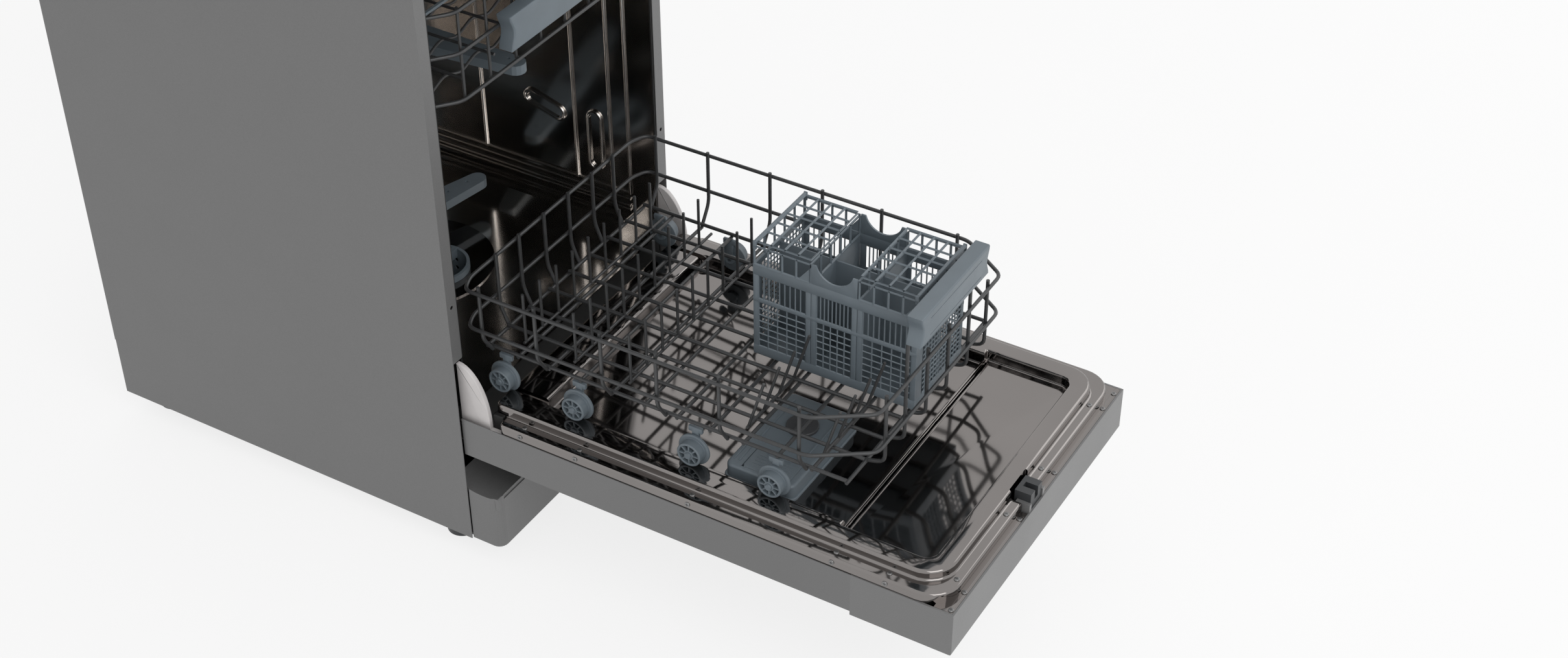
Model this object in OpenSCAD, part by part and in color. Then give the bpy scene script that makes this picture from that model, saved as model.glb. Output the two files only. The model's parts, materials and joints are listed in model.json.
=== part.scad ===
/* [Cabinet] */
// Width over the side panels
body_w = 448; // [430:2:470]
// Depth from the front plane to the rear panel
body_depth = 560; // [550:5:600]
// Height over the worktop
total_h = 850; // [840:5:880]
// Height of the side panels' lower edge above the floor
foot_gap = 30; // [24:1:40]
// Drop from the open door's upper edge to the side panels' lower edge
panel_drop = 184.5; // [180:0.5:195]
// Thickness of the worktop
worktop_t = 30; // [20:1:34]
// Thickness of the sheet steel
sheet = 1; // [0.8:0.1:1.2]
// Width of the side panels' front flange
flange_w = 17; // [14:1:18]

/* [Door] */
// Reach of the open door in front of the cabinet
door_reach = 640.8; // [636:0.4:650]
// Depth of the door's steel shell
door_t = 53.4; // [50:0.2:56]
// Inset of the door at each side of the cabinet
door_inset = 4; // [3.6:0.2:5]
// Length of the control housing at the free end
housing_l = 123.8; // [110:1:130]
// Step of the control housing below the door's skin
housing_step = 5.3; // [3:0.1:8]
// Height of the liner's ledge above the door's edge
ledge_h = 12.4; // [10:0.2:14]
// Height of the liner's rim above the door's edge
rim_h = 24.7; // [22:0.1:27]
// Depth of the liner's recess below its rim
recess_d = 17.7; // [14:0.1:19]
// Radius of the liner's corners
liner_r = 36; // [20:1:45]

/* [Tub] */
// Gap between the tub's wall and the side panel's inner face
tub_side_gap = 19; // [18:0.5:21]
// Gap between the tub's back wall and the rear face
tub_back_gap = 18; // [16:1:21]
// Gap between the tub's ceiling and the worktop
tub_top_gap = 17; // [12:1:24]

/* [Lower basket] */
// Thickness of the basket wires
wire_d = 4.6; // [4:0.1:5]
// Gap between the lower basket's rim and the tub's wall
basket_side_gap = 17; // [16:0.5:22]
// Height of the lower basket's rim over the door's edge
basket_rim_z = 164; // [155:1:170]
// Reach of the lower basket's front rail
basket_front = 506; // [500:1:510]
// Radius of the wheels' tread
tread_r = 15.2; // [13:0.1:16]
// Depth of the wheels' flange below the tread
flange_extra = 5; // [3:0.2:7]
// Length of the lower basket's handle
handle_l = 160; // [120:2:180]

/* [Cutlery basket] */
// Width of the cutlery basket
cutlery_w = 115; // [95:1:125]
// Length of the cutlery basket
cutlery_l = 208.5; // [190:0.5:215]
// Height of the cutlery basket with its lids
cutlery_h = 157; // [135:1:160]

/* [Upper basket] */
// Gap between the upper basket's rim and the tub's wall
upper_side_gap = 23; // [22:0.5:28]
// Drop of the upper basket's floor from the tub's ceiling
upper_drop = 196.5; // [188:0.5:203]
// Height of the upper basket's walls
upper_h = 108; // [95:1:118]

/* [Spray arms] */
// Reach of the lower spray arm
lower_arm_r = 157; // [130:1:158]
// Reach of the upper spray arm
upper_arm_r = 185; // [140:1:188]

/* [Hidden] */

// Fits shared by all pieces
gap = 0.3;
pin_gap = 0.05;
over = 2;
corner_steps = 6;
wire_sides = 8;

// Datum: middle of the cabinet's front plane, level with the open door's upper edge
front_y = (door_reach - body_depth) / 2;
door_z = foot_gap + panel_drop;
top_z = total_h - door_z;
worktop_z = top_z - worktop_t;
body_half = body_w / 2;
door_half = body_half - door_inset;
panel_in = body_half - sheet;
tub_front = 3;
tub_floor = 3;
tub_half = panel_in - tub_side_gap;
tub_back = body_depth - tub_back_gap;
tub_top = worktop_z - tub_top_gap;
basket_half = tub_half - basket_side_gap;
upper_half = tub_half - upper_side_gap;
upper_z = tub_top - upper_drop;

// Colours
steel_grey = [0.46, 0.46, 0.46];
pale_grey = [0.55, 0.55, 0.55];
stainless = [0.62, 0.62, 0.63];
plastic_blue = [0.42, 0.46, 0.49];
plastic_dark = [0.2, 0.21, 0.22];
wire_grey = [0.34, 0.35, 0.36];
white = [0.88, 0.88, 0.86];
black = [0.06, 0.06, 0.06];

module at_datum() { translate([0, front_y, door_z]) children(); }
module both_sides() { children(); mirror([1, 0, 0]) children(); }
module box(a, b) { translate(a) cube(b - a); }
module rod_x(x0, x1, y, z, r) { translate([x0, y, z]) rotate([0, 90, 0]) cylinder(h = x1 - x0, r = r); }
module rod_y(y0, y1, x, z, r) { translate([x, y1, z]) rotate([90, 0, 0]) cylinder(h = y1 - y0, r = r); }
module rod_z(z0, z1, x, y, r) { translate([x, y, z0]) cylinder(h = z1 - z0, r = r); }
function arc(x, y, r, a0, a1, n) =
    [for (i = [0:n]) [x + r * cos(a0 + (a1 - a0) * i / n), y + r * sin(a0 + (a1 - a0) * i / n)]];
function plan(x0, y0, x1, y1, r_front, r_back) = concat(
    arc(x1 - r_back, y1 - r_back, r_back, 0, 90, corner_steps),
    arc(x0 + r_back, y1 - r_back, r_back, 90, 180, corner_steps),
    arc(x0 + r_front, y0 + r_front, r_front, 180, 270, corner_steps),
    arc(x1 - r_front, y0 + r_front, r_front, 270, 360, corner_steps));
module slab(x0, y0, x1, y1, r_front, r_back, z0, z1) {
    translate([0, 0, z0]) linear_extrude(z1 - z0) polygon(plan(x0, y0, x1, y1, r_front, r_back));
}
// Outline in depth and height, drawn out across the width
module across(x0, x1, outline) {
    translate([x0, 0, 0]) rotate([90, 0, 90]) linear_extrude(x1 - x0) polygon(outline);
}
// Outline in width and height, drawn out along the depth
module along(y0, y1, outline) {
    translate([0, y1, 0]) rotate([90, 0, 0]) linear_extrude(y1 - y0) polygon(outline);
}
module bar(p, q, d) {
    v = q - p;
    l = norm(v);
    translate(p) rotate([0, acos(v.z / l), atan2(v.y, v.x)]) translate([0, 0, -d / 4])
        cylinder(h = l + d / 2, d = d, $fn = wire_sides);
}
module wire(points, d) { for (i = [1:len(points) - 1]) bar(points[i - 1], points[i], d); }

// Cabinet
panel_flange_z = 82;
panel_screw_z = 158;
panel_screw_r = 2.5;
flange_mid = flange_w / 2;
module side_panel() {
    difference() {
        union() {
            box([panel_in, 0, -panel_drop], [body_half, body_depth - sheet, worktop_z]);
            box([body_half - flange_w, 0, panel_flange_z], [body_half, sheet, worktop_z]);
            box([body_half - flange_w, body_depth - 2 * sheet, -panel_drop],
                [body_half, body_depth - sheet, worktop_z]);
            box([body_half - flange_w, 0, worktop_z - sheet], [body_half, body_depth - sheet, worktop_z]);
        }
        rod_y(-over, over, body_half - flange_mid, panel_screw_z, panel_screw_r);
    }
}
module side_panels() { color(steel_grey) at_datum() both_sides() side_panel(); }

rear_panel_z = -100;
module rear_panel() {
    color(steel_grey) at_datum()
        box([-body_half, body_depth - sheet, rear_panel_z], [body_half, body_depth, worktop_z]);
}

worktop_overhang = 45;
worktop_r = 3;
module worktop() {
    color(pale_grey) at_datum()
        slab(-body_half, -worktop_overhang, body_half, body_depth, worktop_r, worktop_r, worktop_z, top_z);
}

// Tub
rail_w = 34;
rail_in = tub_half - rail_w;
rail_front = 40;
oval_proud = 2.5;
oval_line = 3.5;
oval_w = 22;
upright_oval_y = 92;
upright_oval_z = [76, 162];
slant_oval_from = [139, 140];
slant_oval_to = [198, 158];
rib_ys = [40, 67, 121];
rib_w = 3;
rib_proud = 1.5;
rib_z = 54;
rib_top_gap = 30;
ridge_zs = [34, 54];
sump_depth_share = 0.42115;
sump_y = tub_front + sump_depth_share * (tub_back - tub_front);
sump_hole_r = 85;
salt_side = 94;
salt_x = -tub_half + salt_side;
salt_in = 102;
salt_y = tub_back - salt_in;
salt_hole_r = 25;
break_spout_y = 260;
break_spout_z = 120;
function oval_outline(l, r) = concat(arc(l / 2, 0, r, -90, 90, corner_steps * 2),
    arc(-l / 2, 0, r, 90, 270, corner_steps * 2));
// Pressed oval ring on the right-hand wall, drawn between two points in depth and height
module pressed_oval(a, b, w) {
    d = b - a;
    l = norm(d) - w;
    m = (a + b) / 2;
    translate([tub_half - oval_proud, m.x, m.y]) rotate([90, 0, 90]) rotate([0, 0, atan2(d.y, d.x)])
        linear_extrude(oval_proud + sheet / 2) difference() {
            polygon(oval_outline(l, w / 2));
            polygon(oval_outline(l, w / 2 - oval_line));
        }
}
module tub_wall_press() {
    pressed_oval([upright_oval_y, upright_oval_z[0]], [upright_oval_y, upright_oval_z[1]], oval_w);
    pressed_oval(slant_oval_from, slant_oval_to, oval_w);
    for (y = rib_ys)
        box([tub_half - rib_proud, y, rib_z], [tub_half + sheet / 2, y + rib_w, tub_top - rib_top_gap]);
    for (z = ridge_zs)
        box([tub_half - rib_proud, rail_front, z], [tub_half + sheet / 2, tub_back, z + rib_w]);
}
module tub_rail() {
    along(rail_front, tub_back, [[rail_in, tub_floor - sheet], [rail_in + sheet, tub_floor - sheet],
        [rail_in + sheet, rim_h - sheet], [tub_half + sheet / 2, rim_h - sheet],
        [tub_half + sheet / 2, rim_h], [rail_in, rim_h]]);
    box([rail_in, rail_front, tub_floor - sheet], [tub_half + sheet / 2, rail_front + sheet, rim_h]);
}
module tub() {
    color(stainless) at_datum() {
        difference() {
            union() {
                difference() {
                    box([-tub_half - sheet, tub_front, tub_floor - sheet],
                        [tub_half + sheet, tub_back + sheet, tub_top + sheet]);
                    box([-tub_half, tub_front - over, tub_floor], [tub_half, tub_back, tub_top]);
                }
                both_sides() {
                    tub_wall_press();
                    tub_rail();
                    box([tub_half + sheet / 2, tub_front, panel_flange_z],
                        [panel_in - gap, tub_front + sheet, tub_top]);
                }
            }
            rod_z(tub_floor - over, tub_floor + over, 0, sump_y, sump_hole_r);
            rod_z(tub_floor - over, tub_floor + over, salt_x, salt_y, salt_hole_r);
        }
    }
}

seal_w = 2.4;
seal_y = sheet + gap;
module tub_seal() {
    color(black) at_datum() difference() {
        box([-tub_half - gap - seal_w, seal_y, panel_flange_z],
            [tub_half + gap + seal_w, tub_front, tub_top + gap + seal_w]);
        box([-tub_half - gap, seal_y - over, panel_flange_z - over], [tub_half + gap, tub_front + over, tub_top]);
    }
}

// Base
tray_t = 3.5;
tray_back_gap = 4;
tray_back = body_depth - tray_back_gap;
tray_wall_front = 12;
tray_wall_top = -120;
tray_side = 5;
tray_wall_in = panel_in - tray_side;
plinth_y = 44;
plinth_t = 2.5;
plinth_inset = 1.5;
plinth_top = -111.5;
plinth_low = -183;
plinth_r = 12;
pivot_y = -21.5;
pivot_z = -20;
tail_sweep_r = 88;
post_side = 44;
post_x = tub_half - post_side;
post_w = 36;
post_front = 96;
post_back = 140;
post_ys = [post_front, salt_y - post_back];
post_l = 30;
foot_back = 40;
rear_foot_y = body_depth - foot_back;
rear_foot_side = 44;
rear_foot_x = body_half - rear_foot_side;
rear_foot_r = 20;
front_foot_side = 39;
front_foot_x = body_half - front_foot_side;
front_foot_y = 45;
foot_stud_r = 4;
foot_boss_r = 14;
foot_boss_top = -150;
foot_disc_r = 20;
foot_disc_h = 8.5;
foot_nut_r = 9.8;
foot_nut_h = 8;
tray_top = -panel_drop + tray_t;
module base_tray() {
    color(plastic_dark) at_datum() difference() {
        union() {
            slab(-tray_wall_in, -plinth_y + plinth_t + gap, tray_wall_in, tray_back, plinth_r - plinth_t, sheet,
                -panel_drop, tray_top);
            both_sides() {
                box([tray_wall_in - tray_t, tray_wall_front, -panel_drop],
                    [panel_in - gap, tray_back, tray_top]);
                box([tray_wall_in, tray_wall_front, -panel_drop], [panel_in - gap, tray_back, tray_wall_top]);
                for (y = post_ys)
                    box([post_x, y, tray_top - sheet], [post_x + post_w, y + post_l, tub_floor - sheet]);
                rod_z(-door_z, tray_top, rear_foot_x, rear_foot_y, rear_foot_r);
                rod_z(-panel_drop, foot_boss_top, front_foot_x, front_foot_y, foot_boss_r);
            }
        }
        both_sides() rod_z(-door_z, 0, front_foot_x, front_foot_y, foot_stud_r + pin_gap);
    }
}

plinth_half = body_half - plinth_inset;
plinth_back = -0.6;
scoop_r = tail_sweep_r + gap;
scoop_from = -104;
scoop_to = -62;
// Curved sheet behind the plinth's edge, round the sweep of the door's tail
module scoop() {
    across(-plinth_half + plinth_t / 2, plinth_half - plinth_t / 2, concat(
        arc(pivot_y, pivot_z, scoop_r, scoop_from, scoop_to, corner_steps * 2),
        arc(pivot_y, pivot_z, scoop_r + plinth_t, scoop_to, scoop_from, corner_steps * 2)));
    box([-plinth_half + plinth_t / 2, -plinth_y + plinth_t / 2, plinth_top - plinth_r],
        [plinth_half - plinth_t / 2, -plinth_y + 2 * plinth_t, pivot_z - scoop_r + plinth_t / 2]);
}
module plinth() {
    color(steel_grey) at_datum() scoop();
    color(steel_grey) at_datum() difference() {
        slab(-plinth_half, -plinth_y, plinth_half, plinth_back, plinth_r, sheet, plinth_low, plinth_top + plinth_r);
        slab(-plinth_half + plinth_t, -plinth_y + plinth_t, plinth_half - plinth_t, over, plinth_r - plinth_t,
            sheet, plinth_low - over, plinth_top + 2 * plinth_r);
        rod_x(-body_half, body_half, pivot_y, pivot_z, tail_sweep_r);
        box([-plinth_half + plinth_r, -plinth_y - over, plinth_top], [plinth_half - plinth_r, 0, 0]);
    }
}

module foot() {
    rod_z(-door_z, -door_z + foot_disc_h, front_foot_x, front_foot_y, foot_disc_r);
    translate([front_foot_x, front_foot_y, -door_z + foot_disc_h - sheet])
        cylinder(h = foot_nut_h + sheet, r = foot_nut_r, $fn = 6);
    rod_z(-door_z + foot_disc_h, foot_boss_top, front_foot_x, front_foot_y, foot_stud_r);
}
module foot_left() { color(black) at_datum() mirror([1, 0, 0]) foot(); }
module foot_right() { color(black) at_datum() foot(); }

// Door hinges
bracket_side = 5;
bracket_x = door_half - bracket_side;
bracket_t = 2.5;
lug_r = 12;
hinge_pin_r = 5;
ear_side = 12;
ear_x = door_half - ear_side;
ear_t = 6;
bracket_leg_y = [66, 110];
bracket_foot_z = -178;
module hinge_bracket() {
    across(bracket_x, bracket_x + bracket_t, concat(
        arc(pivot_y, pivot_z, lug_r, 90, 270, corner_steps * 2),
        [[bracket_leg_y[0], pivot_z - lug_r], [bracket_leg_y[0], bracket_foot_z],
        [bracket_leg_y[1], bracket_foot_z], [bracket_leg_y[1], pivot_z + lug_r]]));
    rod_x(ear_x - gap, bracket_x + bracket_t / 2, pivot_y, pivot_z, hinge_pin_r);
}
module hinge_brackets() { color(stainless) at_datum() both_sides() hinge_bracket(); }

spring_z = -140;
spring_r = 7;
spring_wire_r = 1.2;
spring_y = [140, 330];
spring_core_r = 3.5;
spring_x = tray_wall_in - tray_t - spring_r - sheet;
hook_w = 12;
spring_turns = 40;
module hinge_spring() {
    pitch = (spring_y[1] - spring_y[0]) / spring_turns;
    translate([spring_x, spring_y[1], spring_z]) rotate([90, 0, 0]) rotate_extrude()
        polygon(concat([[spring_core_r, 0]],
            [for (i = [0:2 * spring_turns]) [spring_r - (i % 2) * spring_wire_r, i * pitch / 2]],
            [[spring_core_r, spring_y[1] - spring_y[0]]]));
    rod_y(spring_y[1] - over, spring_y[1] + hook_w, spring_x, spring_z, spring_core_r + sheet);
    box([spring_x - hook_w / 2, spring_y[1] + hook_w - over, tray_top + gap / 2],
        [spring_x + hook_w / 2, spring_y[1] + 2 * hook_w, spring_z + spring_r]);
    rod_y(bracket_leg_y[1] + hook_w, spring_y[0] + over, spring_x, spring_z, spring_core_r + sheet);
    box([spring_x - spring_core_r, bracket_leg_y[0], spring_z - spring_core_r],
        [bracket_x - gap, bracket_leg_y[1] + hook_w + over, spring_z + spring_core_r]);
}
module hinge_springs() { color(stainless) at_datum() both_sides() hinge_spring(); }

weight_left = 30;
weight_right = 128;
weight_x = [salt_x + weight_left, tray_wall_in - weight_right];
weight_back = 15;
weight_l = 75;
weight_y = [body_depth - weight_back - weight_l, body_depth - weight_back];
weight_top = -108;
module counterweight() {
    color(plastic_dark) at_datum()
        box([weight_x[0], weight_y[0], tray_top], [weight_x[1], weight_y[1], weight_top]);
}

// Water circuit
sump_r = 92;
sump_wall = 4;
sump_low = -60;
arm_step = 45;
arm_y = sump_y + arm_step;
arm_z = 36;
arm_t = 12;
arm_pin_r = 8;
arm_post_r = 12;
hub_r = 22;
cup_r = 38;
cup_step = 30;
cup_y = sump_y - cup_step;
cup_low = -40;
cup_top = 14;
plate_r = 95;
plate_t = 2;
module sump() {
    color(plastic_dark) at_datum() {
        difference() {
            rod_z(sump_low, tub_floor - sheet, 0, sump_y, sump_r);
            rod_z(sump_low + sump_wall, tub_floor, 0, sump_y, sump_r - sump_wall);
        }
        rod_z(sump_low + sump_wall / 2, arm_z - gap, 0, arm_y, arm_post_r);
        rod_z(arm_z - over, arm_z + arm_t + over, 0, arm_y, arm_pin_r);
        rod_z(arm_z + arm_t + gap, arm_z + arm_t + gap + over, 0, arm_y, arm_post_r);
    }
}

cup_wall = 2;
grip_w = 6;
grip_h = 12;
cup_hole_r = 3;
module filter_cup() {
    color(plastic_blue) at_datum() {
        difference() {
            union() {
                rod_z(cup_low, cup_top, 0, cup_y, cup_r);
                rod_z(tub_floor + plate_t + gap, cup_top, 0, cup_y, cup_r + over);
            }
            rod_z(cup_low + cup_wall, cup_top + over, 0, cup_y, cup_r - cup_wall);
            for (a = [0:30:359], z = [cup_low + grip_h, cup_low + 2 * grip_h, cup_low + 3 * grip_h])
                translate([0, cup_y, z]) rotate([0, 90, a]) cylinder(h = cup_r + over, r = cup_hole_r);
        }
        box([-cup_r + cup_wall / 2, cup_y - grip_w / 2, cup_top - grip_h],
            [cup_r - cup_wall / 2, cup_y + grip_w / 2, cup_top + over]);
    }
}
module filter_plate() {
    color(stainless) at_datum() difference() {
        rod_z(tub_floor, tub_floor + plate_t, 0, sump_y, plate_r);
        rod_z(tub_floor - over, tub_floor + over + plate_t, 0, cup_y, cup_r + gap);
        rod_z(tub_floor - over, tub_floor + over + plate_t, 0, arm_y, arm_post_r + gap);
    }
}

arm_root_w = 22;
arm_tip_w = 12;
arm_turn = -14;
nozzle_r = 2;
nozzle_step = 32;
cap_t = 5;
function arm_outline(r, w0, w1) = concat(
    arc(r - w1, 0, w1, -80, 80, corner_steps), [[0, w0]],
    arc(-r + w1, 0, w1, 100, 260, corner_steps), [[0, -w0]]);
module spray_arm(r, t) {
    difference() {
        union() {
            linear_extrude(t) polygon(arm_outline(r, arm_root_w, arm_tip_w));
            cylinder(h = t, r = hub_r);
        }
        translate([0, 0, -over]) cylinder(h = t + 2 * over, r = arm_pin_r + pin_gap);
        for (s = [-1, 1], x = [hub_r + arm_tip_w:nozzle_step:r - arm_tip_w])
            translate([s * x, s * nozzle_r, t - cap_t]) cylinder(h = t, r = nozzle_r);
    }
}
module lower_spray_arm() {
    color(plastic_blue) at_datum() translate([0, arm_y, arm_z]) rotate([0, 0, arm_turn])
        spray_arm(lower_arm_r, arm_t);
}

pump_r = 38;
pump_x = [-30, 112];
pump_z = -124;
drain_r = 24;
drain_x = -62;
drain_z = -96;
drain_front = 45;
drain_back = 32;
drain_y = [sump_y - drain_front, sump_y + drain_back];
spigot_r = 14;
leg_w = 22;
module pumps() {
    color(plastic_dark) at_datum() {
        rod_x(pump_x[0], pump_x[1], sump_y, pump_z, pump_r);
        rod_x(pump_x[1] - over, pump_x[1] + leg_w, sump_y, pump_z, pump_r - spigot_r);
        rod_z(pump_z, sump_low, 0, sump_y, spigot_r);
        for (x = [pump_x[0] + leg_w, pump_x[1] - 2 * leg_w])
            box([x, sump_y - leg_w / 2, tray_top], [x + leg_w / 2, sump_y + leg_w / 2, pump_z]);
        rod_y(drain_y[0], drain_y[1], drain_x, drain_z, drain_r);
        rod_z(drain_z, sump_low, drain_x, sump_y, spigot_r - sump_wall);
        box([drain_x - leg_w / 4, sump_y - leg_w / 2, tray_top], [drain_x + leg_w / 4, sump_y + leg_w / 2, drain_z]);
    }
}

softener_side = 10;
softener_w = 110;
softener_x = [-tub_half + softener_side, -tub_half + softener_side + softener_w];
softener_front = 95;
softener_back = 50;
softener_y = [salt_y - softener_front, salt_y + softener_back];
softener_top = -22;
salt_neck_r = 24;
salt_cap_r = 27;
salt_cap_h = 12;
salt_pin_r = 16;
module water_softener() {
    color(white) at_datum() difference() {
        union() {
            box([softener_x[0], softener_y[0], tray_top], [softener_x[1] , softener_y[1], softener_top]);
            rod_z(softener_top - over, tub_floor + over, salt_x, salt_y, salt_neck_r);
        }
        rod_z(softener_top - salt_neck_r, tub_floor + 2 * over, salt_x, salt_y, salt_pin_r + pin_gap);
    }
}
module salt_cap() {
    color(plastic_blue) at_datum() {
        rod_z(tub_floor + over + gap, tub_floor + salt_cap_h, salt_x, salt_y, salt_cap_r);
        rod_z(softener_top, tub_floor + over + 2 * gap, salt_x, salt_y, salt_pin_r);
        box([salt_x - salt_cap_r + over, salt_y - grip_w / 2, tub_floor + salt_cap_h - over],
            [salt_x + salt_cap_r - over, salt_y + grip_w / 2, tub_floor + salt_cap_h + over]);
    }
}

valve_side = 73;
valve_x = tray_wall_in - valve_side;
outlet_side = 23;
outlet_x = tray_wall_in - outlet_side;
gland_side = 68;
gland_x = -tray_wall_in + gland_side;
fitting_z = -142;
inlet_r = 13.2;
inlet_bore_r = 8;
outlet_r = 9.5;
gland_r = 9;
gland_bore_r = 4;
fitting_body = 34;
fitting_in = 60;
fitting_y = body_depth - fitting_in;
fitting_short = 0.4;
fitting_tip = body_depth - fitting_short;
fitting_wall = 14;
fitting_back = body_depth - fitting_wall;
module rear_fitting(x, r, bore) {
    difference() {
        union() {
            box([x - fitting_body / 2, fitting_y, tray_top], [x + fitting_body / 2, fitting_back, fitting_z + r]);
            rod_y(fitting_back - over, fitting_tip, x, fitting_z, r);
        }
        rod_y(fitting_y + over, fitting_tip + over, x, fitting_z, bore);
    }
}
module rear_fittings() {
    color(plastic_dark) at_datum() {
        rear_fitting(valve_x, inlet_r, inlet_bore_r);
        rear_fitting(outlet_x, outlet_r, outlet_r - over);
        rear_fitting(gland_x, gland_r, gland_bore_r);
    }
}

break_front = 150;
break_back_gap = 122;
break_y = [break_front, tub_back - break_back_gap];
break_low = -60;
break_top_gap = 168.5;
break_z = [break_low, tub_top - break_top_gap];
break_t = 12;
break_spout_r = 20;
module air_break() {
    color(white) at_datum() mirror([1, 0, 0]) {
        box([tub_half + sheet + sump_wall, break_y[0], break_z[0]],
            [tub_half + sheet + sump_wall + break_t, break_y[1], break_z[1]]);
        rod_x(tub_half + sheet, tub_half + sheet + sump_wall + over, break_spout_y, break_spout_z, break_spout_r);
    }
}

duct_w = 32;
duct_t = 13;
duct_front = sump_y + plate_r + over;
duct_step = 20;
duct_top_y = sump_y + duct_step;
dock_drop = 30;
dock_z = upper_z - dock_drop;
dock_r = 12;
dock_l = 8;
module feed_pipe() {
    color(plastic_blue) at_datum() {
        box([-duct_w / 2, duct_front, tub_floor], [duct_w / 2, tub_back, tub_floor + duct_t]);
        box([-duct_w / 2, tub_back - duct_t, tub_floor], [duct_w / 2, tub_back, tub_top]);
        box([-duct_w / 2, duct_top_y, tub_top - duct_t], [duct_w / 2, tub_back, tub_top]);
        rod_z(tub_top - 2 * duct_t, tub_top - over, 0, duct_top_y + duct_w, duct_w / 2);
        rod_y(tub_back - duct_t - dock_l, tub_back - over, 0, dock_z, dock_r);
    }
}

// Upper rails: a channel to each side of a web
rail_sheet = 1.2;
rail_start = 60;
rail_back_gap = 62;
rail_y = [rail_start, tub_back - rail_back_gap];
rail_rise = 48;
rail_h = 23.2;
rail_z = [upper_z + rail_rise, upper_z + rail_rise + rail_h];
rail_wall_gap = 2;
rail_depth = 12;
rail_x = [tub_half - rail_wall_gap - rail_depth, tub_half - rail_wall_gap];
rail_web = 5.8;
rail_web_x = [rail_x[0] + rail_web, rail_x[0] + rail_web + rail_sheet];
module upper_rail() {
    along(rail_y[0], rail_y[1], [
        [rail_x[0], rail_z[0]], [rail_x[1], rail_z[0]], [rail_x[1], rail_z[0] + rail_sheet],
        [rail_web_x[1], rail_z[0] + rail_sheet], [rail_web_x[1], rail_z[1] - rail_sheet],
        [rail_x[1], rail_z[1] - rail_sheet], [rail_x[1], rail_z[1]], [rail_x[0], rail_z[1]],
        [rail_x[0], rail_z[1] - rail_sheet], [rail_web_x[0], rail_z[1] - rail_sheet],
        [rail_web_x[0], rail_z[0] + rail_sheet], [rail_x[0], rail_z[0] + rail_sheet]]);
}
module upper_rails() { color(stainless) at_datum() both_sides() upper_rail(); }
guide_ys = [90, 200];
guide_l = 20;
module rail_guides() {
    color(plastic_blue) at_datum() both_sides() for (y = guide_ys)
        box([rail_web_x[1] + gap, y, rail_z[0] + rail_sheet + gap],
            [tub_half, y + guide_l, rail_z[1] - rail_sheet - gap]);
}

// Door shell
tail_side = 20;
tail_half = door_half - tail_side;
tail_y = 56;
hinge_open_y = -35;
housing_y = -door_reach + housing_l;
module door_panel() {
    color(steel_grey) at_datum() difference() {
        union() {
            box([-door_half, housing_y, -door_t], [door_half, 0, 0]);
            box([-tail_half, -over, -door_t], [tail_half, tail_y, -sheet - gap]);
        }
        box([-door_half + sheet, housing_y - over, -door_t + sheet], [door_half - sheet, -sheet, over]);
        box([-tail_half + sheet, -2 * over, -door_t + sheet], [tail_half - sheet, tail_y - sheet, over]);
        both_sides() box([tail_half, -sheet - over, -door_t + sheet], [door_half - sheet, over, over]);
    }
}

housing_wall = 2.5;
housing_low = -door_t - housing_step;
housing_top = -sheet - gap;
housing_r = 3;
button_in = 60.8;
button_y = -door_reach + button_in;
button_r = 8;
button_proud = 1.5;
button_flange = 1.5;
power_side = 40;
power_x = -door_half + power_side;
program_x = power_x + power_side;
start_x = -power_x;
window_x = 60;
window_in = 40.8;
window_l = 40;
window_y = [-door_reach + window_in, -door_reach + window_in + window_l];
window_t = 1.8;
latch_x = -15;
latch_w = 28;
latch_in = 12.8;
latch_y = -door_reach + latch_in;
latch_z = 5;
latch_pin_r = 2;
lug_w = 5;
lug_l = 6;
post_r = 4;
board_z = -50;
board_t = 1.6;
board_side = 30;
board_x = door_half - board_side;
board_in = 25.8;
board_l = 70;
board_y = [-door_reach + board_in, -door_reach + board_in + board_l];
module control_housing() {
    color(pale_grey) at_datum() difference() {
        union() {
            difference() {
                across(-door_half, door_half, concat(
                    [[housing_y, 0], [-door_reach, 0]],
                    arc(-door_reach + housing_r, housing_low + housing_r, housing_r, 180, 270, corner_steps),
                    [[housing_y, housing_low]]));
                box([-door_half + housing_wall, -door_reach + housing_wall, housing_low + housing_wall],
                    [door_half - housing_wall, housing_y - housing_wall, over]);
            }
            for (s = [-1, 1])
                translate([latch_x + s * (latch_w / 2 + gap + lug_w / 2), 0, 0])
                    box([-lug_w / 2, -door_reach + housing_wall / 2, board_z / 2],
                        [lug_w / 2, latch_y + lug_l, latch_z + lug_l]);
            for (x = [-board_x + lug_l, 0, board_x - lug_l])
                rod_z(housing_low + sheet, board_z - gap, x, board_y[1] - lug_l, post_r);
        }
        for (s = [-1, 1])
            rod_x(latch_x + s * (latch_w / 2 + gap + lug_w / 2) - lug_w, latch_x + s * (latch_w / 2 + gap + lug_w / 2)
                + lug_w, latch_y, latch_z, latch_pin_r + pin_gap);
        for (x = [power_x, program_x, start_x])
            rod_z(housing_low - over, housing_low + housing_wall + over, x, button_y, button_r + gap);
        box([-window_x - gap, window_y[0] - gap, housing_low - over], [window_x + gap, window_y[1] + gap,
            housing_low + window_t]);
    }
}
module display_window() {
    color(black) at_datum()
        box([-window_x, window_y[0], housing_low], [window_x, window_y[1], housing_low + window_t]);
}
module control_board() {
    color([0.1, 0.35, 0.2]) at_datum() {
        box([-board_x, board_y[0], board_z], [board_x, board_y[1], board_z + board_t]);
        box([-board_x / 2, board_y[0] + lug_l, board_z + board_t - gap],
            [board_x / 2, board_y[1] - 2 * lug_l, board_z + 3 * lug_l]);
    }
}
module press_button(x) {
    rod_z(housing_low - button_proud, housing_low + housing_wall + over, x, button_y, button_r);
    rod_z(housing_low + housing_wall + gap, housing_low + housing_wall + over, x, button_y, button_r + button_flange);
}
module power_button() { color(stainless) at_datum() press_button(power_x); }
module program_button() { color(stainless) at_datum() press_button(program_x); }
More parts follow.
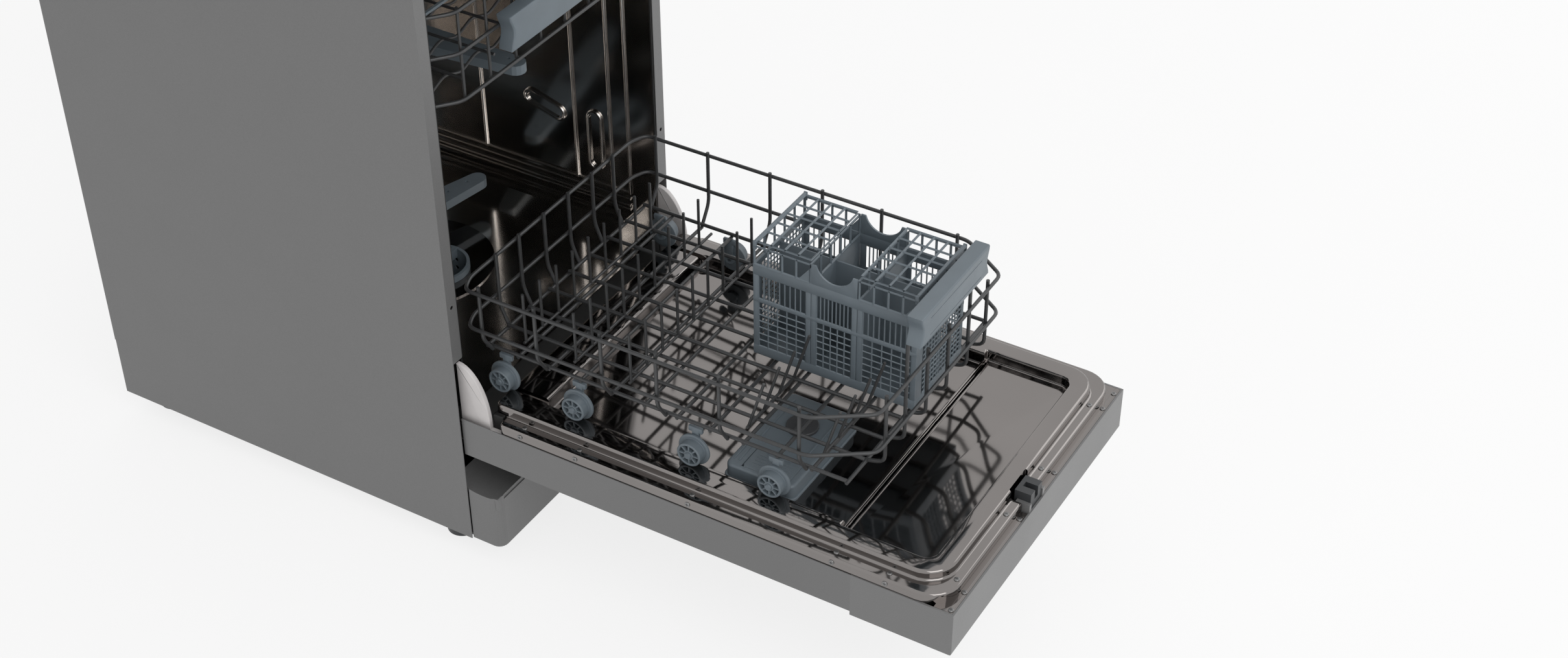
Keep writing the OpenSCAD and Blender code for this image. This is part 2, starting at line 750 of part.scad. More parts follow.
module start_button() { color(stainless) at_datum() press_button(start_x); }

latch_top = 22;
latch_half_l = 10;
latch_slot = 8;
module door_latch() {
    color(plastic_dark) at_datum() difference() {
        union() {
            box([latch_x - latch_w / 2, latch_y - latch_half_l, 0], [latch_x + latch_w / 2, latch_y + latch_half_l,
                latch_top]);
            rod_x(latch_x - latch_w / 2 - lug_w, latch_x + latch_w / 2 + lug_w, latch_y, latch_z, latch_pin_r);
        }
        box([latch_x - latch_slot / 2, latch_y - latch_half_l - over, latch_z + 2 * latch_pin_r],
            [latch_x + latch_slot / 2, latch_y + latch_half_l / 2, latch_top + over]);
    }
}

// Liner: two raised tiers round a recess
ledge_half = door_half - sheet - gap;
rim_step = 17.7;
rim_half = ledge_half - rim_step;
ledge_in = 10.3;
ledge_end = -door_reach + ledge_in;
rim_in = 13.5;
rim_end = ledge_end + rim_in;
ledge_start = -52;
rim_start = -36;
skirt = 8;
recess_side = 23.5;
recess_wide = rim_half - recess_side;
recess_narrow = rail_in;
recess_in = 24.4;
recess_end = rim_end + recess_in;
recess_front_l = 110.9;
recess_step_y = recess_end + recess_front_l;
recess_start = -85;
recess_z = rim_h - recess_d;
recess_dip = 3;
groove_w = 7;
groove_z = rim_h - flange_extra - sheet;
flange_end = -door_reach + housing_wall + gap;
flange_half = door_half - housing_wall - gap;
tight_r = 8;
recess_r = 12;
dispenser_side = 10;
dispenser_w = 152;
dispenser_x = [-rail_in + dispenser_side, -rail_in + dispenser_side + dispenser_w];
dispenser_in = 219.5;
dispenser_l = 93;
dispenser_y = [ledge_end + dispenser_in, ledge_end + dispenser_in + dispenser_l];
notch = 4;
module liner_recess(grow, z0, z1) {
    slab(-recess_narrow - grow, recess_step_y, recess_narrow + grow, recess_start + grow,
        sheet, tight_r, z0, z1);
    slab(-recess_wide - grow, recess_end - grow, recess_wide + grow, recess_step_y + grow + sheet,
        recess_r, sheet, z0 + recess_dip, z1);
}
module liner_tiers(in, z_low, z_drop) {
    slab(-ledge_half + in, ledge_end + in, ledge_half - in, ledge_start - in, liner_r - in, tight_r, z_low,
        ledge_h - z_drop);
    slab(-rim_half + in, rim_end + in, rim_half - in, rim_start - in, liner_r - in, tight_r, z_low,
        rim_h - z_drop);
}
module flange_groove(grow) {
    both_sides() box([recess_narrow - groove_w - grow, recess_start - tight_r - over, groove_z - grow],
        [recess_narrow + grow, rim_start + over, rim_h + over]);
}
module door_liner() {
    color(stainless) at_datum() difference() {
        union() {
            liner_tiers(0, 0, 0);
            box([-tail_half + sheet + gap, rim_start - sheet, -sheet], [tail_half - sheet - gap, tail_y, 0]);
            box([-flange_half, flange_end, -sheet], [flange_half, rim_end, 0]);
        }
        difference() {
            liner_tiers(sheet, -over, sheet);
            liner_recess(sheet, recess_z - sheet, rim_h);
            flange_groove(sheet);
        }
        liner_recess(0, recess_z, rim_h + over);
        flange_groove(0);
        box([latch_x - latch_w / 2 - 3 * lug_w, -door_reach, -over],
            [latch_x + latch_w / 2 + 3 * lug_w, latch_y + latch_half_l + notch, rim_h + over]);
        box([dispenser_x[0] + notch, dispenser_y[0] + notch, recess_z - over],
            [dispenser_x[1] - notch, dispenser_y[1] - notch, recess_z + over]);
    }
}

screw_r = 3.2;
screw_h = 1.2;
side_screw_shares = [0.1316, 0.2522, 0.4917, 0.7819, 0.885];
side_screw_z = 6.5;
ledge_screw_in = 10.7;
ledge_screw_x = ledge_half - ledge_screw_in;
end_ledge_screw_shares = [-0.823, -0.279, 0.128, 0.7225];
end_flange_screw_shares = [-0.9807, -0.838, -0.221, 0.1934, 0.8011, 0.9484];
module liner_screws() {
    color(stainless) at_datum() {
        both_sides() for (share = side_screw_shares) {
            rod_x(ledge_half, ledge_half + screw_h, share * ledge_end, side_screw_z, screw_r);
            rod_z(ledge_h, ledge_h + screw_h, ledge_screw_x, share * ledge_end, screw_r);
        }
        for (share = end_ledge_screw_shares)
            rod_z(ledge_h, ledge_h + screw_h, share * ledge_half, (ledge_end + rim_end) / 2, screw_r);
        for (share = end_flange_screw_shares)
            rod_z(0, screw_h, share * flange_half, (flange_end + ledge_end) / 2, screw_r);
    }
}

ear_top = 76;
ear_front = 37;
lever_y = [-120, 4];
lever_z = [-34, -6];
lever_foot_y = -62;
module hinge_lever() {
    difference() {
        union() {
            across(ear_x, ear_x + ear_t, concat([[lever_y[1], ear_top]],
                [for (a = [0:9:90]) [-ear_front * sin(a), ear_top * cos(a)]],
                [[-ear_front, lever_z[0]], [lever_y[1], lever_z[0]]]));
            box([ear_x, lever_y[0], lever_z[0]], [ear_x + ear_t, -ear_front + over, lever_z[1]]);
            box([ear_x, lever_y[0], lever_z[0]], [door_half - sheet, lever_foot_y, lever_z[1]]);
        }
        rod_x(ear_x - over, ear_x + ear_t + over, pivot_y, pivot_z, hinge_pin_r + pin_gap);
    }
}
module hinge_levers() { color(white) at_datum() both_sides() hinge_lever(); }

seal_h = 5;
seal_strip_w = 5.5;
corner_seal_w = 6.3;
corner_seal_x = [rim_half + gap, rim_half + gap + corner_seal_w];
corner_seal_y = [-51.5, -38];
corner_seal_h = 14;
module door_seal() {
    color(black) at_datum() {
        box([-tail_half + over, rim_start + gap, 0], [tail_half - over, rim_start + gap + seal_strip_w, seal_h]);
        both_sides() box([corner_seal_x[0], corner_seal_y[0], -skirt], [corner_seal_x[1], corner_seal_y[1],
            corner_seal_h]);
    }
}

dispenser_top = recess_z + 20;
dispenser_low = -30;
dispenser_r = 10;
cup_in = 10;
cup_w = 36;
cup_x = [dispenser_x[0] + cup_in, dispenser_x[0] + cup_in + cup_w];
cup_yy = [-400, -340];
lid_t = 2.5;
lid_barrel_r = 2.2;
lid_pin_r = 1.2;
rinse_in = 52;
rinse_x = dispenser_x[1] - rinse_in;
rinse_y = -365;
rinse_r = 19;
rinse_h = 4;
rinse_pin_r = 12;
module dispenser() {
    color(plastic_blue) at_datum() difference() {
        union() {
            slab(dispenser_x[0], dispenser_y[0], dispenser_x[1], dispenser_y[1], dispenser_r, dispenser_r, recess_z,
                dispenser_top);
            box([dispenser_x[0] + notch + gap, dispenser_y[0] + notch + gap, dispenser_low],
                [dispenser_x[1] - notch - gap, dispenser_y[1] - notch - gap, recess_z + over]);
        }
        box([cup_x[0] + 2 * lid_barrel_r, cup_yy[0] + over, recess_z - notch],
            [cup_x[1] - over, cup_yy[1] - over, dispenser_top + over]);
        box([cup_x[0] - lid_barrel_r - 3 * gap, cup_yy[0] - gap, dispenser_top - lid_t - 2 * lid_barrel_r],
            [cup_x[1] + gap, cup_yy[1] + gap, dispenser_top + over]);
        rod_z(recess_z - notch, dispenser_top + over, rinse_x, rinse_y, rinse_pin_r + pin_gap);
        rod_y(cup_yy[0] - lug_w, cup_yy[1] + lug_w, cup_x[0], dispenser_top - lid_barrel_r - gap,
            lid_pin_r + pin_gap);
    }
}
module dispenser_lid() {
    color(plastic_blue) at_datum() {
        box([cup_x[0], cup_yy[0], dispenser_top - lid_t], [cup_x[1], cup_yy[1], dispenser_top]);
        rod_y(cup_yy[0], cup_yy[1], cup_x[0], dispenser_top - lid_barrel_r - gap, lid_barrel_r);
        rod_y(cup_yy[0] - lug_w + gap, cup_yy[1] + lug_w - gap, cup_x[0], dispenser_top - lid_barrel_r - gap,
            lid_pin_r);
    }
}
module rinse_cap() {
    color(plastic_dark) at_datum() {
        rod_z(dispenser_top + gap, dispenser_top + rinse_h, rinse_x, rinse_y, rinse_r);
        rod_z(recess_z, dispenser_top + 2 * gap, rinse_x, rinse_y, rinse_pin_r);
        box([rinse_x - rinse_r + over, rinse_y - over, dispenser_top + rinse_h - gap],
            [rinse_x + rinse_r - over, rinse_y + over, dispenser_top + 2 * rinse_h]);
    }
}

// Lower basket
wr = wire_d / 2;
wire_lap = wr * 1.7;
rail2_z = 111.5;
foot_bend_z = 98;
front_bend_z = 80;
floor_z = 72;
floor_in = 22;
floor_half = basket_half - floor_in;
floor_front = -480;
floor_rear = -4;
rear_rail_y = 12;
rear_cut = [22, 9.4];
front_cut = [42.5, 62];
upright_ys = [-13.5, -89.5, -178, -251, -331.5, -431.5];
tip_over = 6;
floor_rows = 12;
floor_cols = 9;
end_shares = [-0.83045, -0.51903, -0.17301, 0.17301, 0.51903, 0.83045];
module lower_floor() {
    color(wire_grey) at_datum() {
        row = (floor_rear - floor_front) / (floor_rows - 1);
        col = 2 * floor_half / (floor_cols - 1);
        for (i = [0:floor_rows - 1])
            bar([-floor_half, floor_front + i * row, floor_z], [floor_half, floor_front + i * row, floor_z], wire_d);
        for (i = [0:floor_cols - 1])
            bar([-floor_half + i * col, floor_front, floor_z + wire_lap],
                [-floor_half + i * col, floor_rear, floor_z + wire_lap], wire_d);
    }
}
side_front = -basket_front + front_cut.y;
side_rear = rear_rail_y - rear_cut.y;
front_half = basket_half - front_cut.x;
rear_half = basket_half - rear_cut.x;
module lower_side() {
    for (z = [rail2_z, basket_rim_z])
        box([basket_half - wr, side_front + gap, z - wr], [basket_half + wr, side_rear - gap, z + wr]);
    for (y = upright_ys) {
        wire([[basket_half - wire_lap, y, basket_rim_z + tip_over], [basket_half - wire_lap, y, foot_bend_z],
            [floor_half + wire_d, y, floor_z + wr]], wire_d);
    }
}
module lower_chamfer() {
    intersection() {
        for (z = [rail2_z, basket_rim_z])
            bar([basket_half, side_front, z], [front_half, -basket_front, z], wire_d);
        box([front_half + gap, -basket_front - wire_d, 0], [basket_half + wire_d, side_front, 2 * basket_rim_z]);
    }
}
module lower_front() {
    for (z = [rail2_z, basket_rim_z])
        bar([-front_half + wire_d / 4, -basket_front, z], [front_half - wire_d / 4, -basket_front, z], wire_d);
    for (x = [-handle_l / 2 + wire_d, handle_l / 2 - wire_d])
        bar([x, -basket_front + wire_lap, rail2_z], [x, -basket_front + wire_lap, handle_z[0] - wire_d / 4 - gap],
            wire_d);
    for (x = end_shares * front_half)
        wire([[x, -basket_front + wire_lap, basket_rim_z + tip_over], [x, -basket_front + wire_lap, front_bend_z],
            [x, floor_front - wire_d, floor_z + wr]], wire_d);
}
module lower_rear() {
    for (z = [rail2_z, basket_rim_z])
        wire([[-basket_half + wr, side_rear + wr, z], [-rear_half, rear_rail_y, z], [rear_half, rear_rail_y, z],
            [basket_half - wr, side_rear + wr, z]], wire_d);
    for (x = end_shares * front_half)
        wire([[x, rear_rail_y - wire_lap, basket_rim_z + tip_over], [x, rear_rail_y - wire_lap, foot_bend_z],
            [x, floor_rear + wire_d, floor_z + wr]], wire_d);
}
module lower_frame() {
    color(wire_grey) at_datum() {
        both_sides() {
            lower_side();
            lower_chamfer();
        }
        lower_front();
        lower_rear();
    }
}

tine_base_z = floor_z + wire_lap + wire_d + gap / 2;
tine_d = 3.6;
tine_in = 17;
tine_half = floor_half - tine_in;
tine_top = 148;
rear_row_ys = [-45, -115];
front_row_ys = [-345, -440];
tine_pitch = 33;
cutlery_x = -26;
cutlery_clear = 16;
front_row_x = [-tine_half, cutlery_x - cutlery_clear];
lean = 20;
module tine_row(x0, x1, y, shift) {
    bar([x0, y, tine_base_z], [x1, y, tine_base_z], wire_d);
    for (x = [x0 + tine_d:tine_pitch:x1])
        bar([x, y, tine_base_z], [x, y + shift, tine_top], tine_d);
}
module lower_tines() {
    color(wire_grey) at_datum() {
        for (y = rear_row_ys) tine_row(-tine_half, tine_half, y, 0);
        for (y = front_row_ys) tine_row(front_row_x[0], front_row_x[1], y, -lean);
    }
}
fold_y = -190;
fold_l = 66;
module folding_tines() {
    color(wire_grey) at_datum() {
        rod_x(-tine_half, tine_half, fold_y, tine_base_z, wr);
        for (x = [-tine_half + tine_d:tine_pitch:tine_half])
            bar([x, fold_y, tine_base_z], [x, fold_y, tine_base_z + fold_l], tine_d);
    }
}

handle_z = [213, 251];
handle_y = [-520.5, -501.5];
handle_wave = 5;
function handle_outline(l, z) = concat(
    [for (i = [0:8]) [l / 2 - handle_wave * (1 - cos(45 * i)) / 2, z[0] + (z[1] - z[0]) * i / 8]],
    [for (i = [8:-1:0]) [-l / 2 + handle_wave * (1 - cos(45 * i)) / 2, z[0] + (z[1] - z[0]) * i / 8]]);
module lower_handle() {
    color(plastic_blue) at_datum() difference() {
        along(handle_y[0], handle_y[1], handle_outline(handle_l, handle_z));
        along(handle_y[0] + housing_wall, handle_y[1] + over,
            [[-handle_l / 2 + 2 * handle_wave, handle_z[0] + 3 * housing_wall],
            [handle_l / 2 - 2 * handle_wave, handle_z[0] + 3 * housing_wall],
            [handle_l / 2 - 2 * handle_wave, handle_z[1] - housing_wall],
            [-handle_l / 2 + 2 * handle_wave, handle_z[1] - housing_wall]]);
    }
}

// Wheels: tread on the rim, flange inside it
wheel_ys = [-29.6, -131.8, -288, -392];
wheel_z = rim_h + gap + tread_r;
flange_side = 3.9;
flange_play = 0.4;
flange_in = rail_in - flange_side;
flange_out = rail_in - flange_play;
tread_w = 11;
wheel_out = rail_in + tread_w;
axle_r = 3;
axle_head_r = 4.6;
axle_head = 2;
spoke_n = 8;
spoke_w = 2;
wheel_hub_r = 6.5;
tread_in_r = 12.6;
pocket = 4;
clip_t = 5.1;
clip_in = flange_in - clip_t;
clip_half = 9;
clip_low = 32;
module wheel(y) {
    difference() {
        union() {
            rod_x(flange_in, wheel_out, y, wheel_z, tread_r);
            rod_x(flange_in, flange_out, y, wheel_z, tread_r + flange_extra);
        }
        difference() {
            rod_x(wheel_out - pocket, wheel_out + over, y, wheel_z, tread_in_r);
            rod_x(wheel_out - pocket - over, wheel_out + 2 * over, y, wheel_z, wheel_hub_r);
            for (i = [0:spoke_n / 2 - 1])
                translate([wheel_out - pocket - over, y, wheel_z]) rotate([i * 360 / spoke_n, 0, 0])
                    translate([0, -tread_r, -spoke_w / 2]) cube([pocket + over, 2 * tread_r, spoke_w]);
        }
        rod_x(flange_in - over, wheel_out + over, y, wheel_z, axle_r + pin_gap);
    }
}
module wheels_1() { color(plastic_blue) at_datum() both_sides() wheel(wheel_ys[0]); }
module wheels_2() { color(plastic_blue) at_datum() both_sides() wheel(wheel_ys[1]); }
module wheels_3() { color(plastic_blue) at_datum() both_sides() wheel(wheel_ys[2]); }
module wheels_4() { color(plastic_blue) at_datum() both_sides() wheel(wheel_ys[3]); }
module wheel_clips() {
    color(plastic_blue) at_datum() both_sides() for (y = wheel_ys) {
        box([clip_in, y - clip_half, clip_low], [flange_in - gap, y + clip_half, floor_z - wr - gap / 2]);
        rod_x(clip_in, wheel_out + axle_head + gap, y, wheel_z, axle_r);
        rod_x(wheel_out + gap, wheel_out + gap + axle_head, y, wheel_z, axle_head_r);
    }
}

// Cutlery basket
cutlery_front = -488.5;
cut_x = [cutlery_x, cutlery_x + cutlery_w];
cut_y = [cutlery_front, cutlery_front + cutlery_l];
cut_low = floor_z + wire_lap + wr + gap;
cut_lid_drop = 5;
cut_lid_z = cut_low + cutlery_h - cut_lid_drop;
cut_wall = 2.2;
cut_top = cut_lid_z - 2 * gap;
slot_w = 9;
slot_pitch = 14;
slot_foot = 14;
slot_h = 48;
slot_rise = 60;
slot_z = [cut_low + slot_foot, cut_low + slot_foot + slot_h];
slot_z2 = [slot_z[0] + slot_rise, slot_z[1] + slot_rise];
lid_len = 75;
lattice_x = 5;
lattice_y = 4;
lattice_bar = 3.4;
cage_rise = 126;
cage_z = [cut_low + cage_rise, cut_top - lattice_bar];
cage_pitch = [(cutlery_w - lattice_bar) / lattice_x, (lid_len - lattice_bar) / lattice_y];
cut_pin_r = 1.5;
barrel_r = 2.4;
module cutlery_basket() {
    mid_x = (cut_x[0] + cut_x[1]) / 2;
    color(plastic_blue) at_datum() {
        difference() {
            box([cut_x[0], cut_y[0], cut_low], [cut_x[1], cut_y[1], cut_top]);
            for (x = [cut_x[0] + cut_wall, mid_x + cut_wall / 2],
                    y = [cut_y[0] + cut_wall, cut_y[0] + lid_len, cut_y[1] - lid_len + cut_wall]) {
                y_end = y < cut_y[0] + lid_len ? cut_y[0] + lid_len - cut_wall
                    : y < cut_y[1] - lid_len ? cut_y[1] - lid_len : cut_y[1] - cut_wall;
                box([x, y, cut_low + cut_wall], [x + (cutlery_w - 3 * cut_wall) / 2, y_end, cut_top + over]);
            }
            for (z = [slot_z, slot_z2]) {
                for (y = [cut_y[0] + slot_pitch:slot_pitch:cut_y[1] - slot_pitch])
                    box([cut_x[0] - over, y - slot_w / 2, z[0]], [cut_x[1] + over, y + slot_w / 2, z[1]]);
                for (x = [cut_x[0] + slot_pitch:slot_pitch:cut_x[1] - slot_w])
                    box([x - slot_w / 2, cut_y[0] - over, z[0]], [x + slot_w / 2, cut_y[1] + over, z[1]]);
            }
            for (i = [0:lattice_x - 1]) {
                x = cut_x[0] + lattice_bar + i * cage_pitch.x;
                box([x, cut_y[0] - over, cage_z[0]], [x + cage_pitch.x - lattice_bar, cut_y[1] + over, cage_z[1]]);
            }
            for (y = [cut_y[0], cut_y[1] - lid_len], j = [0:lattice_y - 1]) {
                y_bar = y + lattice_bar + j * cage_pitch.y;
                box([cut_x[0] - over, y_bar, cage_z[0]],
                    [cut_x[1] + over, y_bar + cage_pitch.y - lattice_bar, cage_z[1]]);
            }
        }
        for (e = [0, 1], s = [0, 1]) {
            x0 = cut_x[s] - s * cut_wall;
            yh = e == 0 ? cut_y[0] + barrel_r : cut_y[1] - barrel_r;
            box([x0, yh - barrel_r, cut_top - over], [x0 + cut_wall, yh + barrel_r, cut_lid_z + 2 * barrel_r]);
            rod_x(s == 0 ? x0 : x0 - 2 * cut_wall, s == 0 ? x0 + 3 * cut_wall : x0 + cut_wall, yh,
                cut_lid_z + barrel_r, cut_pin_r);
        }
    }
}
module cutlery_lid(y_hinge, dir) {
    x0 = cut_x[0] + cut_wall + gap;
    x1 = cut_x[1] - cut_wall - gap;
    y_far = y_hinge + dir * (lid_len - barrel_r);
    ya = min(y_hinge, y_far);
    yb = max(y_hinge, y_far);
    cell_x = (x1 - x0 - lattice_bar) / lattice_x;
    cell_y = (yb - ya - barrel_r - lattice_bar) / lattice_y;
    y_first = dir > 0 ? ya + barrel_r : ya + lattice_bar;
    difference() {
        union() {
            box([x0, ya, cut_lid_z + barrel_r / 2], [x1, yb, cut_lid_z + 1.5 * barrel_r]);
            rod_x(x0, x1, y_hinge, cut_lid_z + barrel_r, barrel_r);
        }
        for (i = [0:lattice_x - 1], j = [0:lattice_y - 1])
            box([x0 + lattice_bar + i * cell_x, y_first + j * cell_y, cut_lid_z - over],
                [x0 + (i + 1) * cell_x, y_first + (j + 1) * cell_y - lattice_bar, cut_lid_z + 4 * barrel_r]);
        rod_x(x0 - over, x1 + over, y_hinge, cut_lid_z + barrel_r, cut_pin_r + pin_gap);
    }
}
module cutlery_lid_front() { color(plastic_blue) at_datum() cutlery_lid(cut_y[0] + barrel_r, 1); }
module cutlery_lid_rear() { color(plastic_blue) at_datum() cutlery_lid(cut_y[1] - barrel_r, -1); }

// Upper basket
upper_front = 8;
upper_back_gap = 72;
upper_y = [upper_front, tub_back - upper_back_gap];
upper_cut = [30, 24];
upper_rows = 9;
dip = 11;
upper_cols = 6;
roller_r = 10.2;
roller_play = 0.4;
roller_x = [rail_x[0] + roller_play, rail_web_x[0] - roller_play];
roller_front = 235;
roller_back = 25;
roller_ys = [roller_front, upper_y[1] - roller_back];
roller_z = (rail_z[0] + rail_z[1]) / 2;
upper_front_half = upper_half - upper_cut.x;
upper_floor_half = upper_half - wire_d;
upper_row = (upper_y[1] - upper_y[0] - 2 * wire_d) / upper_rows;
module upper_floor() {
    color(wire_grey) at_datum() {
        col = 2 * upper_floor_half / upper_cols;
        for (i = [1:upper_rows])
            wire([for (j = [0:2 * upper_cols]) [-upper_floor_half + j * col / 2, upper_y[0] + i * upper_row,
                upper_z - (j % 2) * dip]], tine_d);
        for (j = [1:upper_cols - 1])
            bar([-upper_floor_half + j * col, upper_y[0] + upper_row / 2, upper_z + wire_lap],
                [-upper_floor_half + j * col, upper_y[1] - wire_lap - 3 * tine_d / 4 - gap, upper_z + wire_lap],
                tine_d);
    }
}
mid_rise = 58;
upper_mid_z = upper_z + mid_rise;
upper_zs = [upper_z, upper_mid_z, upper_z + upper_h];
module upper_side() {
    y0 = upper_y[0] + upper_cut.y;
    for (z = upper_zs)
        box([upper_half - wr, y0 + gap, z - wr], [upper_half + wr, upper_y[1] - wr - gap, z + wr]);
    for (i = [1:upper_rows - 1]) {
        y = upper_y[0] + (i + 0.5) * upper_row;
        bar([upper_half - wire_lap, y, upper_z], [upper_half - wire_lap, y, upper_z + upper_h], tine_d);
    }
    for (y = roller_ys) {
        box([upper_half - wr, y - clip_half, upper_z], [upper_half + wr, y + clip_half, rail_z[1] + clip_half]);
        rod_x(upper_half, roller_x[1] - gap, y, roller_z, axle_r);
    }
}
module upper_end(y, half, in) {
    for (z = upper_zs)
        bar([-half + wire_d / 4, y, z], [half - wire_d / 4, y, z], wire_d);
    for (i = [0:6])
        bar([-half + 2 * wire_d + i * (half - 2 * wire_d) / 3, y + in, upper_z],
            [-half + 2 * wire_d + i * (half - 2 * wire_d) / 3, y + in, upper_z + upper_h], tine_d);
}
module upper_chamfer() {
    intersection() {
        for (z = upper_zs)
            bar([upper_half, upper_y[0] + upper_cut.y, z], [upper_front_half, upper_y[0], z], wire_d);
        box([upper_front_half + gap, 0, 0], [body_half, upper_y[0] + upper_cut.y, worktop_z]);
    }
}
module upper_frame() {
    color(wire_grey) at_datum() {
        both_sides() {
            upper_side();
            upper_chamfer();
        }
        upper_end(upper_y[0], upper_front_half, wire_lap);
        upper_end(upper_y[1], upper_half - wr - gap, -wire_lap);
    }
}
handle_rise = 33;
upper_handle_h = 43;
upper_handle_z = [upper_z + handle_rise, upper_z + handle_rise + upper_handle_h];
upper_handle_y = [-14, 5.4];
upper_handle_l = 170;
module upper_handle() {
    color(plastic_blue) at_datum()
        along(upper_handle_y[0], upper_handle_y[1], handle_outline(upper_handle_l, upper_handle_z));
}
shelf_y = [60, 260];
shelf_rise = 84;
shelf_z = upper_z + shelf_rise;
shelf_w = 105;
shelf_t = 3;
shelf_x = -upper_half + wire_lap + tine_d / 2 + barrel_r + gap;
shelf_cells = 6;
module cup_shelf() {
    color(plastic_blue) at_datum() {
        cell = (shelf_y[1] - shelf_y[0] - lattice_bar) / shelf_cells;
        difference() {
            box([shelf_x, shelf_y[0], shelf_z - shelf_t / 2], [shelf_x + shelf_w, shelf_y[1], shelf_z + shelf_t / 2]);
            for (i = [0:shelf_cells - 1])
                box([shelf_x + 2 * barrel_r + lattice_bar, shelf_y[0] + lattice_bar + i * cell, shelf_z - shelf_t],
                    [shelf_x + shelf_w - 2 * lattice_bar, shelf_y[0] + (i + 1) * cell, shelf_z + shelf_t]);
        }
        rod_y(shelf_y[0], shelf_y[1], shelf_x, shelf_z, barrel_r);
    }
}
feed_y = sump_y - over;
feed_drop = 42;
feed_low = upper_z - feed_drop;
feed_post_l = 15;
feed_arm_z = feed_low - feed_post_l;
feed_neck_r = 14;
module spray_feed() {
    color(plastic_blue) at_datum() {
        box([-duct_w / 2, feed_y, feed_low], [duct_w / 2, upper_y[1] + wire_d, feed_low + duct_t]);
        rod_z(feed_low, upper_z - dip - tine_d / 2 - gap, 0, feed_y, hub_r);
        box([-arm_pin_r, upper_y[1] - 2 * wire_d + tine_d / 2 + gap, feed_low],
            [arm_pin_r, upper_y[1] + wr, upper_z - wr]);
        rod_z(feed_arm_z - over, feed_low + over, 0, feed_y, arm_pin_r);
        rod_z(feed_arm_z + arm_t + gap, feed_low + over, 0, feed_y, feed_neck_r);
        rod_z(feed_arm_z - gap - over, feed_arm_z - gap, 0, feed_y, arm_post_r);
    }
}
upper_arm_turn = 92;
module upper_spray_arm() {
    color(plastic_blue) at_datum() translate([0, feed_y, feed_arm_z]) rotate([0, 0, upper_arm_turn])
        spray_arm(upper_arm_r, arm_t);
}
module basket_roller(y) {
    difference() {
        rod_x(roller_x[0], roller_x[1], y, roller_z, roller_r);
        rod_x(roller_x[0] - over, roller_x[1] + over, y, roller_z, axle_r + pin_gap);
    }
}
module basket_rollers_front() { color(white) at_datum() both_sides() basket_roller(roller_ys[0]); }
module basket_rollers_rear() { color(white) at_datum() both_sides() basket_roller(roller_ys[1]); }

side_panels();
rear_panel();
worktop();
tub();
tub_seal();
base_tray();
plinth();
foot_left();
foot_right();
hinge_brackets();
hinge_springs();
counterweight();
sump();
filter_cup();
filter_plate();
lower_spray_arm();
pumps();
water_softener();
salt_cap();
rear_fittings();
air_break();
feed_pipe();
upper_rails();
rail_guides();
door_panel();
control_housing();
door_liner();
liner_screws();
hinge_levers();
door_seal();
control_board();
display_window();
power_button();
program_button();
start_button();
door_latch();
dispenser();
dispenser_lid();
rinse_cap();
lower_floor();
lower_frame();
lower_tines();
folding_tines();
lower_handle();
wheel_clips();
wheels_1();
wheels_2();
wheels_3();
wheels_4();
cutlery_basket();
cutlery_lid_front();
cutlery_lid_rear();
upper_floor();
upper_frame();
upper_handle();
cup_shelf();
spray_feed();
upper_spray_arm();
basket_rollers_front();
basket_rollers_rear();
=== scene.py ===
import json
import math

import bmesh
import bpy
from bpy.props import FloatProperty, FloatVectorProperty, IntProperty, PointerProperty
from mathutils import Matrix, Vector


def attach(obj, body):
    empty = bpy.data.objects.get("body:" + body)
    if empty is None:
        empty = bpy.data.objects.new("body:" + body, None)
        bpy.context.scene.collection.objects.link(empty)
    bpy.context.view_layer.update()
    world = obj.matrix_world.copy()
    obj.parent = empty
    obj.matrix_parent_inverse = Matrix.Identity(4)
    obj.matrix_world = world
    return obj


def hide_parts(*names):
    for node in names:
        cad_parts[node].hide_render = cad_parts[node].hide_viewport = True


bl_info = {
    "name": "Open dishwasher",
    "version": (1, 0, 0),
    "blender": (4, 5, 0),
    "location": "View3D > Sidebar > Dishwasher",
    "description": "Dresses the dishwasher's frame with its sheet metal, wire and plastic pieces",
    "category": "Object",
}

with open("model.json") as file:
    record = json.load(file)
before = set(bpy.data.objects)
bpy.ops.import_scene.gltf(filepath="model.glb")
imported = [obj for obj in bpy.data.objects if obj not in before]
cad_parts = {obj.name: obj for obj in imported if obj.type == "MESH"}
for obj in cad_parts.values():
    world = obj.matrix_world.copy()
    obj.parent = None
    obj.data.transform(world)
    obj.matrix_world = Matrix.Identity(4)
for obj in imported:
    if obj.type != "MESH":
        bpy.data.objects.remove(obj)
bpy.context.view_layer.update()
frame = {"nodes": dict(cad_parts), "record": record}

MM = 0.001
# Middle of the cabinet's front plane, level with the open door's upper edge, in metres
FRONT_Y = 0.0404
DOOR_Z = 0.2145
# How far a cutting block runs past the piece that it cuts, in millimetres
OVERRUN = 5


def at(x, y, z):
    """A point given in millimetres from the cabinet's front plane and the door's edge."""
    return Vector((x * MM, y * MM + FRONT_Y, z * MM + DOOR_Z))


def mirrored(inner, outer, side):
    """The lower and upper x of a span on the left or the right."""
    return sorted((side * inner, side * outer))


# Finishes


